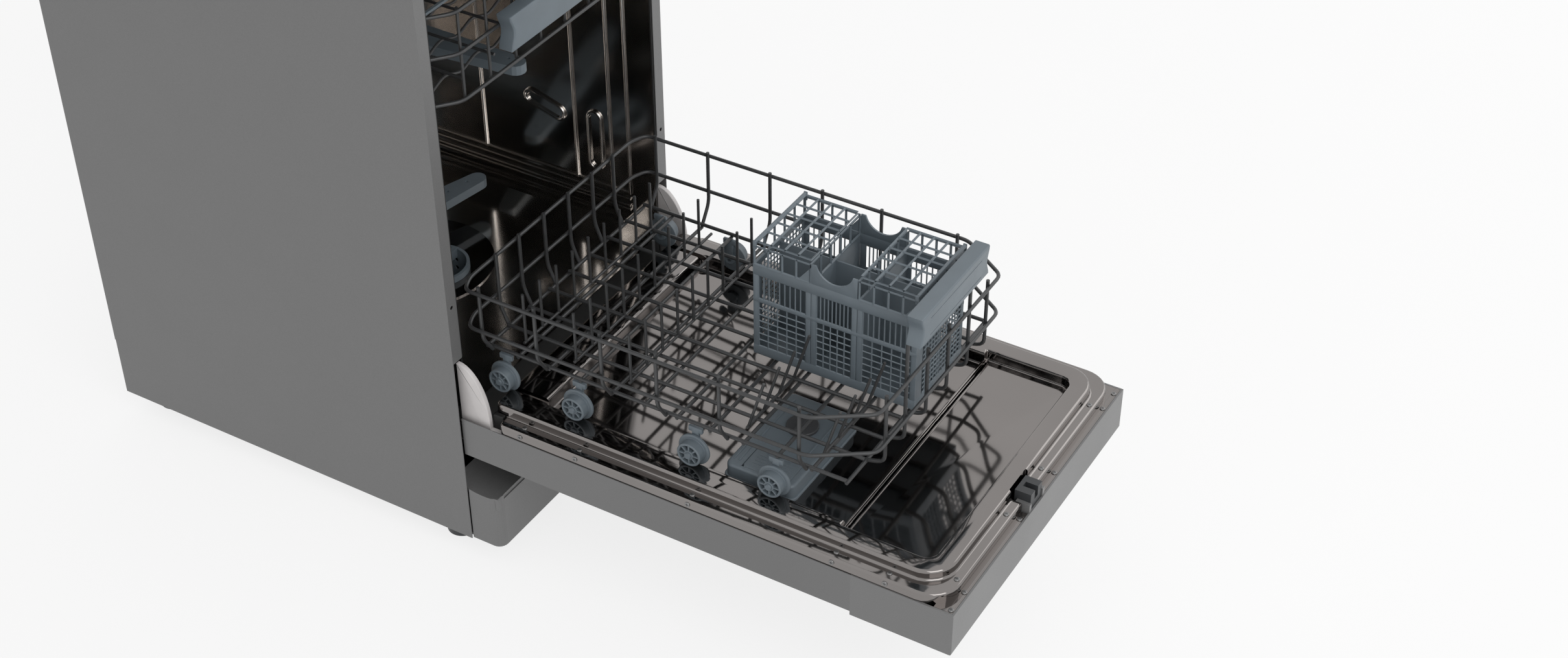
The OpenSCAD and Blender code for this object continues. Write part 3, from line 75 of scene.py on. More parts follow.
class MaterialMaker:
    """Builds one procedural finish on Object coordinates."""

    def __init__(self, name, colour, metallic, roughness):
        self.material = bpy.data.materials.new(name)
        self.material.use_nodes = True
        self.nodes = self.material.node_tree.nodes
        self.links = self.material.node_tree.links
        self.shader = self.nodes["Principled BSDF"]
        self.shader.inputs["Base Color"].default_value = (*colour, 1.0)
        self.shader.inputs["Metallic"].default_value = metallic
        self.shader.inputs["Roughness"].default_value = roughness
        self.colour = colour
        self.roughness = roughness
        self.place = self.nodes.new("ShaderNodeTexCoord")

    def noise(self, scale, detail, stretch=(1, 1, 1)):
        mapping = self.nodes.new("ShaderNodeMapping")
        mapping.inputs["Scale"].default_value = stretch
        texture = self.nodes.new("ShaderNodeTexNoise")
        texture.inputs["Scale"].default_value = scale
        texture.inputs["Detail"].default_value = detail
        self.links.new(self.place.outputs["Object"], mapping.inputs["Vector"])
        self.links.new(mapping.outputs["Vector"], texture.inputs["Vector"])
        return texture.outputs["Fac"]

    def mottle(self, source, amount):
        """Varies the colour by a share of itself either way."""
        ramp = self.nodes.new("ShaderNodeValToRGB")
        shades = [tuple(min(1, c * share) for c in self.colour) for share in (1 - amount, 1 + amount)]
        for stop, position, shade in zip(ramp.color_ramp.elements, (0.3, 0.7), shades):
            stop.position = position
            stop.color = (*shade, 1)
        self.links.new(source, ramp.inputs["Fac"])
        self.links.new(ramp.outputs["Color"], self.shader.inputs["Base Color"])

    def polish(self, source, amount):
        """Varies the roughness by an amount either way."""
        spread = self.nodes.new("ShaderNodeMapRange")
        spread.inputs["To Min"].default_value = max(0.02, self.roughness - amount)
        spread.inputs["To Max"].default_value = self.roughness + amount
        self.links.new(source, spread.inputs["Value"])
        self.links.new(spread.outputs["Result"], self.shader.inputs["Roughness"])

    def relief(self, source, strength, distance=0.0002):
        """Roughens the surface to a depth in metres."""
        bump = self.nodes.new("ShaderNodeBump")
        bump.inputs["Strength"].default_value = strength
        bump.inputs["Distance"].default_value = distance
        self.links.new(source, bump.inputs["Height"])
        self.links.new(bump.outputs["Normal"], self.shader.inputs["Normal"])


def linear(value):
    """A screen grey from 0 to 255 as a linear amount."""
    share = value / 255
    return share / 12.92 if share <= 0.04045 else ((share + 0.055) / 1.055) ** 2.4


def grey(r, g=None, b=None):
    """A screen colour as linear amounts, neutral where only one is given."""
    g = r if g is None else g
    b = r if b is None else b
    return (linear(r), linear(g), linear(b))


def painted_steel(name, colour, roughness=0.42):
    maker = MaterialMaker(name, colour, metallic=0.25, roughness=roughness)
    maker.mottle(maker.noise(scale=900, detail=2), amount=0.05)
    maker.polish(maker.noise(scale=14, detail=4), amount=0.05)
    maker.relief(maker.noise(scale=1400, detail=2), strength=0.05)
    return maker.material


def polished_steel(name, colour, roughness):
    maker = MaterialMaker(name, colour, metallic=1.0, roughness=roughness)
    maker.mottle(maker.noise(scale=6, detail=3), amount=0.04)
    maker.polish(maker.noise(scale=9, detail=5), amount=0.03)
    maker.relief(maker.noise(scale=700, detail=3, stretch=(1, 0.04, 1)), strength=0.02)
    return maker.material


def moulded_plastic(name, colour, roughness=0.45, grain=0.12):
    maker = MaterialMaker(name, colour, metallic=0.0, roughness=roughness)
    maker.mottle(maker.noise(scale=35, detail=4), amount=0.05)
    maker.polish(maker.noise(scale=60, detail=3), amount=0.05)
    maker.relief(maker.noise(scale=1800, detail=2), strength=grain)
    return maker.material


def coated_wire(name, colour):
    maker = MaterialMaker(name, colour, metallic=0.1, roughness=0.36)
    maker.mottle(maker.noise(scale=120, detail=3), amount=0.12)
    maker.relief(maker.noise(scale=600, detail=2), strength=0.1, distance=0.0003)
    return maker.material


def soft_rubber(name, colour):
    maker = MaterialMaker(name, colour, metallic=0.0, roughness=0.62)
    maker.mottle(maker.noise(scale=80, detail=3), amount=0.2)
    maker.relief(maker.noise(scale=1200, detail=3), strength=0.2, distance=0.0003)
    return maker.material


def rough_casting(name, colour):
    maker = MaterialMaker(name, colour, metallic=0.3, roughness=0.75)
    maker.mottle(maker.noise(scale=90, detail=5), amount=0.25)
    maker.relief(maker.noise(scale=250, detail=4), strength=0.6, distance=0.001)
    return maker.material


def laminate_board(name, colour):
    maker = MaterialMaker(name, colour, metallic=0.0, roughness=0.5)
    maker.mottle(maker.noise(scale=500, detail=5), amount=0.08)
    maker.relief(maker.noise(scale=1500, detail=2), strength=0.15)
    return maker.material


def brushed_metal(name, colour, roughness=0.3):
    maker = MaterialMaker(name, colour, metallic=1.0, roughness=roughness)
    brush = (1, 0.05, 0.05)
    maker.mottle(maker.noise(scale=300, detail=3, stretch=brush), amount=0.1)
    maker.polish(maker.noise(scale=300, detail=3, stretch=brush), amount=0.08)
    return maker.material


def circuit_board(name, colour):
    maker = MaterialMaker(name, colour, metallic=0.0, roughness=0.4)
    cells = maker.nodes.new("ShaderNodeTexVoronoi")
    cells.inputs["Scale"].default_value = 260
    maker.links.new(maker.place.outputs["Object"], cells.inputs["Vector"])
    maker.mottle(cells.outputs["Distance"], amount=0.4)
    return maker.material


class LookSettings(bpy.types.PropertyGroup):
    body: FloatVectorProperty(
        name="Body paint", description="Colour of the painted steel", subtype="COLOR", default=grey(117))
    housing: FloatVectorProperty(
        name="Housing", description="Colour of the control housing", subtype="COLOR", default=grey(121))
    plastic: FloatVectorProperty(
        name="Basket plastic", description="Colour of wheels, handles and baskets", subtype="COLOR",
        default=grey(104, 114, 121))
    wire: FloatVectorProperty(
        name="Wire coating", description="Colour of the basket wires", subtype="COLOR",
        default=grey(60, 61, 62))
    liner: FloatVectorProperty(
        name="Liner steel", description="Colour of the door's inner liner", subtype="COLOR",
        default=grey(132, 128, 126))
    tub: FloatVectorProperty(
        name="Tub steel", description="Colour of the tub", subtype="COLOR", default=grey(205, 201, 197))


def make_finishes(look):
    """One finish for each slot of the frame's record."""
    return {
        "body_paint": painted_steel("body_paint", tuple(look.body)),
        "housing_plastic": painted_steel("housing_plastic", tuple(look.housing), roughness=0.38),
        "tub_steel": polished_steel("tub_steel", tuple(look.tub), roughness=0.12),
        "liner_steel": polished_steel("liner_steel", tuple(look.liner), roughness=0.07),
        "zinc_steel": brushed_metal("zinc_steel", grey(132)),
        "spring_steel": brushed_metal("spring_steel", grey(140), roughness=0.35),
        "worktop_board": laminate_board("worktop_board", grey(135)),
        "black_rubber": soft_rubber("black_rubber", grey(14)),
        "base_plastic": moulded_plastic("base_plastic", grey(52, 54, 56)),
        "basket_plastic": moulded_plastic("basket_plastic", tuple(look.plastic), roughness=0.42),
        "ear_plastic": moulded_plastic("ear_plastic", grey(211, 207, 206), roughness=0.4),
        "softener_plastic": moulded_plastic("softener_plastic", grey(215, 215, 210), roughness=0.5),
        "wire_coat": coated_wire("wire_coat", tuple(look.wire)),
        "ballast": rough_casting("ballast", grey(70)),
        "button_metal": brushed_metal("button_metal", grey(180), roughness=0.28),
        "board": circuit_board("board", (0.02, 0.1, 0.05)),
        "dark_window": moulded_plastic("dark_window", grey(18), roughness=0.08, grain=0.0),
        "pump_plastic": moulded_plastic("pump_plastic", grey(64, 65, 67)),
    }


finishes = {}


class DISHWASHER_OT_finishes(bpy.types.Operator):
    """Makes the finishes and gives each frame node its own"""

    bl_idname = "dishwasher.finishes"
    bl_label = "Finishes"

    def execute(self, context):
        finishes.update(make_finishes(context.scene.dishwasher_look))
        for entry in frame["record"]["subparts"]:
            node = frame["nodes"][entry["node"]]
            node.data.materials.clear()
            node.data.materials.append(finishes[entry["material_slot"]])
        return {"FINISHED"}


# Modelling helpers


def only(piece=None):
    """Leaves nothing selected but the given piece, in object mode."""
    if bpy.context.mode != "OBJECT":
        bpy.ops.object.mode_set(mode="OBJECT")
    bpy.ops.object.select_all(action="DESELECT")
    if piece:
        piece.select_set(True)
        bpy.context.view_layer.objects.active = piece


def apply_place():
    bpy.ops.object.transform_apply(location=True, rotation=True, scale=True)


def edit_all(piece):
    """Opens a piece's mesh with all of it selected."""
    only(piece)
    bpy.ops.object.mode_set(mode="EDIT")
    bpy.ops.mesh.select_all(action="SELECT")


def close_edit():
    bpy.ops.object.mode_set(mode="OBJECT")


def choose(piece, test):
    """Selects only the vertices whose place passes the test."""
    bpy.ops.mesh.select_all(action="DESELECT")
    net = bmesh.from_edit_mesh(piece.data)
    for v in net.verts:
        v.select = test(v.co)
    net.select_flush(True)
    bmesh.update_edit_mesh(piece.data)


def smooth(piece, degrees):
    """Shades a piece smooth except at edges sharper than the angle."""
    only(piece)
    bpy.ops.object.shade_smooth_by_angle(angle=math.radians(degrees))
    return piece


def settle(piece, name, body, slot_name, *nodes):
    """Puts a piece's place into its mesh, names and coats it, and sets it on its body."""
    only(piece)
    apply_place()
    piece.name = name
    piece.data.name = name
    piece.data.materials.clear()
    piece.data.materials.append(finishes[slot_name])
    if nodes:
        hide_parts(*nodes)
    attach(piece, body)


def join(pieces):
    only()
    for piece in pieces:
        piece.select_set(True)
    bpy.context.view_layer.objects.active = pieces[0]
    bpy.ops.object.join()
    return pieces[0]


def copy_moved(piece, shift=(0, 0, 0), flip=False):
    """A copy with its own mesh, mirrored left to right if asked, then moved."""
    only(piece)
    bpy.ops.object.duplicate(linked=False)
    twin = bpy.context.object
    if flip:
        edit_all(twin)
        bpy.ops.transform.mirror(constraint_axis=(True, False, False), center_override=(0, 0, 0))
        bpy.ops.mesh.normals_make_consistent(inside=False)
        close_edit()
    twin.location = shift
    apply_place()
    return twin


def combine(piece, tool, operation="DIFFERENCE"):
    """Cuts one piece with another, or adds or crosses them, and removes the tool."""
    only(piece)
    step = piece.modifiers.new("combine", "BOOLEAN")
    step.operation = operation
    step.object = tool
    step.solver = "EXACT"
    bpy.ops.object.modifier_apply(modifier=step.name)
    mesh = tool.data
    bpy.data.objects.remove(tool)
    bpy.data.meshes.remove(mesh)


def round_edges(piece, chosen, radius, segments=4, sharp=0.5):
    """Bevels the edges sharper than the angle in radians that the test picks by their ends."""
    only(piece)
    bpy.ops.object.mode_set(mode="EDIT")
    bpy.ops.mesh.select_mode(type="EDGE")
    bpy.ops.mesh.select_all(action="DESELECT")
    net = bmesh.from_edit_mesh(piece.data)
    for e in net.edges:
        if len(e.link_faces) == 2 and e.calc_face_angle() > sharp:
            e.select = chosen(e.verts[0].co, e.verts[1].co)
    bmesh.update_edit_mesh(piece.data)
    bpy.ops.mesh.bevel(offset=radius * MM, segments=segments, affect="EDGES")
    bpy.ops.mesh.select_mode(type="VERT")
    close_edit()


def any_edge(a, b):
    return True


def level(z):
    """A test for edges that lie at one height."""
    height = z * MM + DOOR_Z
    slack = MM / 20
    return lambda a, b: abs(a.z - height) < slack and abs(b.z - height) < slack


def facing(y):
    """A test for edges that lie on one plane across the machine."""
    plane = y * MM + FRONT_Y
    slack = MM / 20
    return lambda a, b: abs(a.y - plane) < slack and abs(b.y - plane) < slack


def block(x0, y0, z0, x1, y1, z1):
    """A cube primitive at its size and place, in millimetres."""
    only()
    bpy.ops.mesh.primitive_cube_add(size=1, location=at((x0 + x1) / 2, (y0 + y1) / 2, (z0 + z1) / 2))
    piece = bpy.context.object
    piece.scale = ((x1 - x0) * MM, (y1 - y0) * MM, (z1 - z0) * MM)
    apply_place()
    return piece


def soft_block(x0, y0, z0, x1, y1, z1, radius=0.5):
    """A block with all its edges slightly rounded."""
    piece = block(x0, y0, z0, x1, y1, z1)
    round_edges(piece, any_edge, radius, segments=2)
    return piece


def outline_block(x0, y0, x1, y1, front_radius, back_radius, z0, z1):
    """A block with rounded upright corners: a plane, its corners bevelled, then extruded up."""
    only()
    bpy.ops.mesh.primitive_plane_add(size=1, location=at((x0 + x1) / 2, (y0 + y1) / 2, z0))
    piece = bpy.context.object
    piece.scale = ((x1 - x0) * MM, (y1 - y0) * MM, 1)
    apply_place()
    for radius, y in ((front_radius, y0), (back_radius, y1)):
        edit_all(piece)
        bpy.ops.mesh.select_mode(type="VERT")
        choose(piece, lambda place: abs(place.y - (y * MM + FRONT_Y)) < MM / 10)
        bpy.ops.mesh.bevel(offset=radius * MM, segments=8, affect="VERTICES")
        close_edit()
    edit_all(piece)
    bpy.ops.mesh.extrude_region_move(TRANSFORM_OT_translate={"value": (0, 0, (z1 - z0) * MM)})
    bpy.ops.mesh.select_all(action="SELECT")
    bpy.ops.mesh.normals_make_consistent(inside=False)
    close_edit()
    return piece


def gusset(x0, x1, y, z, run, rise):
    """A corner plate: a block cut off along its slope."""
    piece = block(x0, min(y, y + run), z, x1, max(y, y + run), z + rise)
    edit_all(piece)
    slope = Vector((0, math.copysign(rise, run), abs(run))).normalized()
    bpy.ops.mesh.bisect(plane_co=at(0, y + run, z), plane_no=slope, use_fill=True, clear_outer=True)
    close_edit()
    return piece


def turned(points, middle, steps=40):
    """A round piece about an axis along X: its outline of (x, radius) is drawn and spun."""
    only()
    start = middle + Vector((points[0][0] * MM, 0, points[0][1] * MM))
    bpy.ops.mesh.primitive_plane_add(size=MM, location=start)
    piece = bpy.context.object
    apply_place()
    bpy.ops.object.mode_set(mode="EDIT")
    bpy.ops.mesh.select_mode(type="VERT")
    bpy.ops.mesh.select_all(action="SELECT")
    bpy.ops.mesh.merge(type="CENTER")
    for p, q in zip(points, points[1:]):
        step = ((q[0] - p[0]) * MM, 0, (q[1] - p[1]) * MM)
        bpy.ops.mesh.extrude_region_move(TRANSFORM_OT_translate={"value": step})
    bpy.ops.mesh.select_all(action="SELECT")
    bpy.ops.mesh.spin(steps=steps, angle=2 * math.pi, center=middle, axis=(1, 0, 0))
    bpy.ops.mesh.select_all(action="SELECT")
    bpy.ops.mesh.remove_doubles(threshold=MM / 50)
    bpy.ops.mesh.normals_make_consistent(inside=False)
    close_edit()
    return piece


def rod(x0, x1, radius):
    """The outline of a plain rod for turned."""
    return [(x0, 0), (x0, radius), (x1, radius), (x1, 0)]


def turned_up(x, y, radius, z0, z1, steps=40):
    """An upright cylinder between two heights."""
    only()
    bpy.ops.mesh.primitive_cylinder_add(
        vertices=steps, radius=radius * MM, depth=(z1 - z0) * MM, location=at(x, y, (z0 + z1) / 2))
    apply_place()
    return bpy.context.object


def turn_flat(piece, x, y):
    """Turns a piece modelled along X a quarter turn, so that it lies along Y at x."""
    edit_all(piece)
    bpy.ops.transform.rotate(value=math.pi / 2, orient_axis="Z", center_override=at(0, y, 0))
    bpy.ops.transform.translate(value=(x * MM, 0, 0))
    close_edit()


def lattice(low, high, columns, rows, bar):
    """A flat grid of square bars between two corners that share one coordinate."""
    span = [b - a for a, b in zip(low, high)]
    quarter = math.pi / 2
    if span[0] == 0:
        turn, width, height = (quarter, 0, quarter), span[1], span[2]
    elif span[1] == 0:
        turn, width, height = (quarter, 0, 0), span[0], span[2]
    else:
        turn, width, height = (0, 0, 0), span[0], span[1]
    only()
    bpy.ops.mesh.primitive_grid_add(x_subdivisions=columns, y_subdivisions=rows, size=1)
    piece = bpy.context.object
    piece.scale = ((width - bar) * MM, (height - bar) * MM, 1)
    piece.rotation_euler = turn
    piece.location = at(*((a + b) / 2 for a, b in zip(low, high)))
    apply_place()
    step = piece.modifiers.new("bars", "WIREFRAME")
    step.thickness = bar * MM
    bpy.ops.object.modifier_apply(modifier=step.name)
    return piece


# Wire: a run is its points and whether it closes


def straight(start, end):
    return [at(*start), at(*end)], False


def rounded(points, radius, closed=False, steps=4):
    """The points of a path with each corner turned by an arc."""
    path = []
    count = len(points)
    # An arc takes up to this share of the shorter side beside it
    share = 0.45
    for i, p in enumerate(points):
        if not closed and i in (0, count - 1):
            path.append(p)
            continue
        back = points[i - 1] - p
        ahead = points[(i + 1) % count] - p
        reach = min(radius, back.length * share, ahead.length * share)
        start = p + back.normalized() * reach
        end = p + ahead.normalized() * reach
        for k in range(steps + 1):
            t = k / steps
            path.append(start * (1 - t) ** 2 + p * 2 * t * (1 - t) + end * t ** 2)
    return path


def hoop(plan, z, bend):
    """A closed run round the (x, y) corners of a plan at one height."""
    return rounded([at(x, y, z) for x, y in plan], bend, closed=True), True


def wire_piece(runs, thickness):
    """Tubes along runs: each is drawn by extruding one vertex, then given its thickness."""
    only()
    bpy.ops.mesh.primitive_plane_add(size=MM, location=(0, 0, 0))
    piece = bpy.context.object
    bpy.ops.object.mode_set(mode="EDIT")
    bpy.ops.mesh.select_mode(type="VERT")
    bpy.ops.mesh.select_all(action="SELECT")
    bpy.ops.mesh.delete(type="VERT")
    for points, closed in runs:
        bpy.ops.mesh.select_all(action="DESELECT")
        bpy.ops.mesh.primitive_plane_add(size=MM, location=points[0])
        bpy.ops.mesh.merge(type="CENTER")
        for p, q in zip(points, points[1:]):
            bpy.ops.mesh.extrude_region_move(TRANSFORM_OT_translate={"value": q - p})
        if closed:
            ends = (points[0], points[-1])
            choose(piece, lambda place: min((place - end).length for end in ends) < MM / 100)
            bpy.ops.mesh.edge_face_add()
    only(piece)
    bpy.context.view_layer.update()
    bpy.ops.object.convert(target="CURVE")
    piece = bpy.context.object
    piece.data.bevel_depth = thickness / 2
    piece.data.bevel_resolution = 2
    piece.data.use_fill_caps = True
    bpy.context.view_layer.update()
    bpy.ops.object.convert(target="MESH")
    return smooth(bpy.context.object, 50)


class WireSettings(bpy.types.PropertyGroup):
    wire: FloatProperty(
        name="Wire", description="Thickness of the frame wires", default=4.6 * MM, unit="LENGTH")
    tine: FloatProperty(
        name="Tine", description="Thickness of the tines", default=3.6 * MM, unit="LENGTH")
    bend: FloatProperty(
        name="Bend", description="Radius of the wires' bends", default=9 * MM, unit="LENGTH")


# Lower basket


def tine_row(y, count, end, top, lean=0):
    """A rod across the lower basket and the tines that stand on it."""
    rod_start, rod_z = -148, 80.7
    first, pitch = -144.4, 33
    runs = [straight((rod_start, y, rod_z), (end, y, rod_z))]
    for i in range(count):
        x = first + pitch * i
        runs.append(straight((x, y, rod_z), (x, y - lean, top)))
    return runs


class DISHWASHER_OT_lower_wires(bpy.types.Operator):
    """Models the lower basket's floor, walls and tines as round wire"""

    bl_idname = "dishwasher.lower_wires"
    bl_label = "Lower basket wires"

    def execute(self, context):
        size = context.scene.dishwasher_wires
        settle(wire_piece(self.floor(), size.wire), "lower_floor_wires", "lower_basket", "wire_coat",
               "lower_floor")
        settle(wire_piece(self.walls(size.bend), size.wire), "lower_wall_wires", "lower_basket",
               "wire_coat", "lower_frame")
        rod_end, short_end = 148, -42
        tall, folding_tall = 148, 146.7
        tines = []
        for y in (-45, -115):
            tines += tine_row(y, 9, rod_end, tall)
        for y in (-345, -440):
            tines += tine_row(y, 4, short_end, tall, lean=20)
        settle(wire_piece(tines, size.tine), "lower_tine_wires", "lower_basket", "wire_coat",
               "lower_tines")
        settle(wire_piece(tine_row(-190, 9, rod_end, folding_tall), size.tine), "folding_tine_wires",
               "folding_tines", "wire_coat", "folding_tines")
        return {"FINISHED"}

    def floor(self):
        """Two crossed layers of straight wires."""
        half, front, back = 165, -480, -4
        low, high = 72, 75.9
        across, along = 12, 9
        runs = []
        for i in range(across):
            y = front + i * (back - front) / (across - 1)
            runs.append(straight((-half, y, low), (half, y, low)))
        for i in range(along):
            x = -half + i * 2 * half / (along - 1)
            runs.append(straight((x, front, high), (x, back, high)))
        return runs

    def walls(self, bend):
        """Two hoops and the uprights, whose feet turn in to the floor."""
        side_x, corner_y, back_x, back_y = 187, 2.6, 165, 12
        shoulder_y, front_x, front_y = -444, 144.5, -506
        plan = [
            (side_x, corner_y), (back_x, back_y), (-back_x, back_y), (-side_x, corner_y),
            (-side_x, shoulder_y), (-front_x, front_y), (front_x, front_y), (side_x, shoulder_y),
        ]
        low_hoop, high_hoop, foot, top = 111.5, 164, 73, 171
        knee, front_knee = 98, 79
        grip_x, grip_top = 75, 212
        runs = [hoop(plan, z, bend) for z in (low_hoop, high_hoop)]

        def upright(outer, inner, head=top, bent_at=knee):
            path = [at(*outer, head), at(*outer, bent_at), at(*inner, foot)]
            runs.append((rounded(path, bend), False))

        for side in (-1, 1):
            for y in (-13.5, -89.5, -178, -251, -331.5, -431.5):
                upright((side * 183.1, y), (side * 167, y))
        for x in (-120, -grip_x, -25, 25, grip_x, 120):
            upright((x, 8.1), (x, -2))
            head = grip_top if abs(x) == grip_x else top
            upright((x, -502.1), (x, -482), head, front_knee)
        return runs


# Upper basket


class DISHWASHER_OT_upper_wires(bpy.types.Operator):
    """Models the upper basket's floor and walls as round wire, with its roller plates"""

    bl_idname = "dishwasher.upper_wires"
    bl_label = "Upper basket wires"

    def execute(self, context):
        size = context.scene.dishwasher_wires
        front, back, low, head = 8, 470, 392, 502
        half, dip, crossing = 176.4, 11, 3.9
        lap, rows, waves = 9.2, 9, 6
        row = (back - front - lap) / rows
        floor = []
        for i in range(1, rows + 1):
            y = front + i * row
            points = [at(-half + j * half / waves, y, low - (j % 2) * dip) for j in range(2 * waves + 1)]
            floor.append((rounded(points, size.bend), False))
        for j in range(1, waves):
            x = -half + j * half / (waves / 2)
            floor.append(straight((x, front + row / 2, low + crossing), (x, back - 6, low + crossing)))
        settle(wire_piece(floor, size.tine), "upper_floor_wires", "upper_basket", "wire_coat",
               "upper_floor")
        side_x, corner_x, corner_y = 181, 151, 32
        plan = [
            (side_x, back), (-side_x, back), (-side_x, corner_y),
            (-corner_x, front), (corner_x, front), (side_x, corner_y),
        ]
        walls = [hoop(plan, z, size.bend) for z in (low, 450, 500)]
        bars = []
        for side in (-1, 1):
            x = side * (side_x - crossing)
            for i in range(1, rows):
                y = front + (i + 0.5) * row
                bars.append(straight((x, y, low), (x, y, head)))
        for y, half_end, offset in ((front, corner_x, crossing), (back, 178.4, -crossing)):
            for i in range(waves + 1):
                x = -half_end + lap + i * (half_end - lap) / (waves / 2)
                bars.append(straight((x, y + offset, low), (x, y + offset, head)))
        pieces = [wire_piece(walls, size.wire), wire_piece(bars, size.tine)] + self.plates(side_x, low)
        settle(join(pieces), "upper_wall_wires", "upper_basket", "wire_coat", "upper_frame")
        return {"FINISHED"}

    def plates(self, side_x, low):
        """The plates on the side wires that carry the rollers, with their pins."""
        plate_half_t, plate_half_w, plate_h = 2.3, 9, 80
        pin_out, pin_radius, pin_z = 195.1, 3, 451.6
        plates = []
        for side in (-1, 1):
            for y in (235, 445):
                a, b = mirrored(side_x - plate_half_t, side_x + plate_half_t, side)
                plate = block(a, y - plate_half_w, low, b, y + plate_half_w, low + plate_h)
                round_edges(plate, any_edge, 1.2, segments=3)
                a, b = mirrored(side_x, pin_out, side)
                plates += [plate, turned(rod(a, b, pin_radius), at(0, y, pin_z), 20)]
        return plates


# Wheels

# The axles' places and the left wheels' two faces, in millimetres
WHEEL_YS = (-29.6, -131.8, -288, -392)
AXLE_Z = 40.2
WHEEL_OUT = -181
WHEEL_IN = -166.1


class WheelSettings(bpy.types.PropertyGroup):
    tread: FloatProperty(
        name="Tread", description="Radius of the tread", default=15.2 * MM, unit="LENGTH")
    flange: FloatProperty(
        name="Flange", description="Radius of the flange", default=20.2 * MM, unit="LENGTH")
    spokes: IntProperty(name="Spokes", description="Spokes of each wheel", default=8)


class DISHWASHER_OT_wheels(bpy.types.Operator):
    """Models a spoked wheel and sets a copy on each axle"""

    bl_idname = "dishwasher.wheels"
    bl_label = "Wheels"

    def execute(self, context):
        size = context.scene.dishwasher_wheels
        tread, flange = size.tread / MM, size.flange / MM
        middle = at(0, 0, AXLE_Z)
        bore, hub, pocket_out = 3.05, 6.6, 11.6
        pocket_x = -172
        outline = [
            (WHEEL_OUT, bore), (WHEEL_OUT, hub - 1), (WHEEL_OUT + 0.4, hub - 0.6),
            (pocket_x - 0.4, hub - 0.4), (pocket_x, hub),
            (pocket_x, pocket_out), (pocket_x - 0.6, pocket_out + 0.4),
            (WHEEL_OUT + 0.6, pocket_out + 0.8), (WHEEL_OUT, pocket_out + 1.4),
            (WHEEL_OUT, tread - 0.8), (WHEEL_OUT + 0.8, tread),
            (-170, tread), (-169.6, tread + 0.4),
            (-169.6, flange - 1.2), (-169.0, flange - 0.2), (-168.2, flange),
            (WHEEL_IN - 0.5, flange - 0.2), (WHEEL_IN, flange - 0.8), (WHEEL_IN, bore),
        ]
        pieces = [turned(outline + [outline[0]], middle)]
        for i in range(size.spokes):
            spoke = block(WHEEL_OUT + 0.6, -0.9, AXLE_Z + 5.4, pocket_x + 0.4, 0.9, AXLE_Z + 12.4)
            round_edges(spoke, any_edge, 0.35, segments=2)
            edit_all(spoke)
            bpy.ops.transform.rotate(
                value=2 * math.pi * i / size.spokes, orient_axis="X", center_override=middle)
            close_edit()
            pieces.append(spoke)
        wheel = smooth(join(pieces), 40)
        for i, y in enumerate(WHEEL_YS, 1):
            left = copy_moved(wheel, (0, y * MM, 0))
            right = copy_moved(left, flip=True)
            settle(join([left, right]), f"wheel_pair_{i}", f"wheels_{i}", "basket_plastic", f"wheels_{i}")
        bpy.data.objects.remove(wheel)
        return {"FINISHED"}


class DISHWASHER_OT_axle_clips(bpy.types.Operator):
    """Models the carriers that hold the wheels' axles under the basket's wires"""

    bl_idname = "dishwasher.axle_clips"
    bl_label = "Axle clips"

    def execute(self, context):
        outer, inner, top = -165.7, -161, 69.5
        eye, axle, head = 7.6, 3, 4.2
        head_in, head_out = -181.4, -183.4
        clips = []
        for y in WHEEL_YS:
            middle = at(0, y, AXLE_Z)
            ring = [
                (outer, 0), (outer, eye - 0.6), (outer + 0.7, eye),
                (inner - 0.7, eye), (inner, eye - 0.6), (inner, 0),
            ]
            pin = [
                (head_out, 0), (head_out, head - 0.6), (head_in, head),
                (head_in, axle), (inner, axle), (inner, 0),
            ]
            left = join([
                soft_block(outer, y - 4.5, AXLE_Z + 3.8, inner, y + 4.5, top, radius=1),
                soft_block(outer + 0.2, y - 9, top - 7.5, inner - 0.2, y + 9, top - 0.2, radius=1),
                turned(ring, middle, 28),
                turned(pin, middle, 24),
            ])
            clips += [left, copy_moved(left, flip=True)]
        settle(smooth(join(clips), 40), "axle_carriers", "lower_basket", "basket_plastic", "wheel_clips")
        return {"FINISHED"}


# Cutlery basket


class CutlerySettings(bpy.types.PropertyGroup):
    wall: FloatProperty(
        name="Wall", description="Thickness of the walls", default=2.2 * MM, unit="LENGTH")
    bar: FloatProperty(
        name="Grid bar", description="Thickness of the wall grids' bars", default=1.9 * MM, unit="LENGTH")
    cage: FloatProperty(
        name="Cage bar", description="Thickness of the cages' bars", default=3.2 * MM, unit="LENGTH")
    side_cells: IntProperty(
        name="Side cells", description="Rows of openings in each side grid", default=7)
    end_cells: IntProperty(name="End cells", description="Rows of openings in each end grid", default=16)


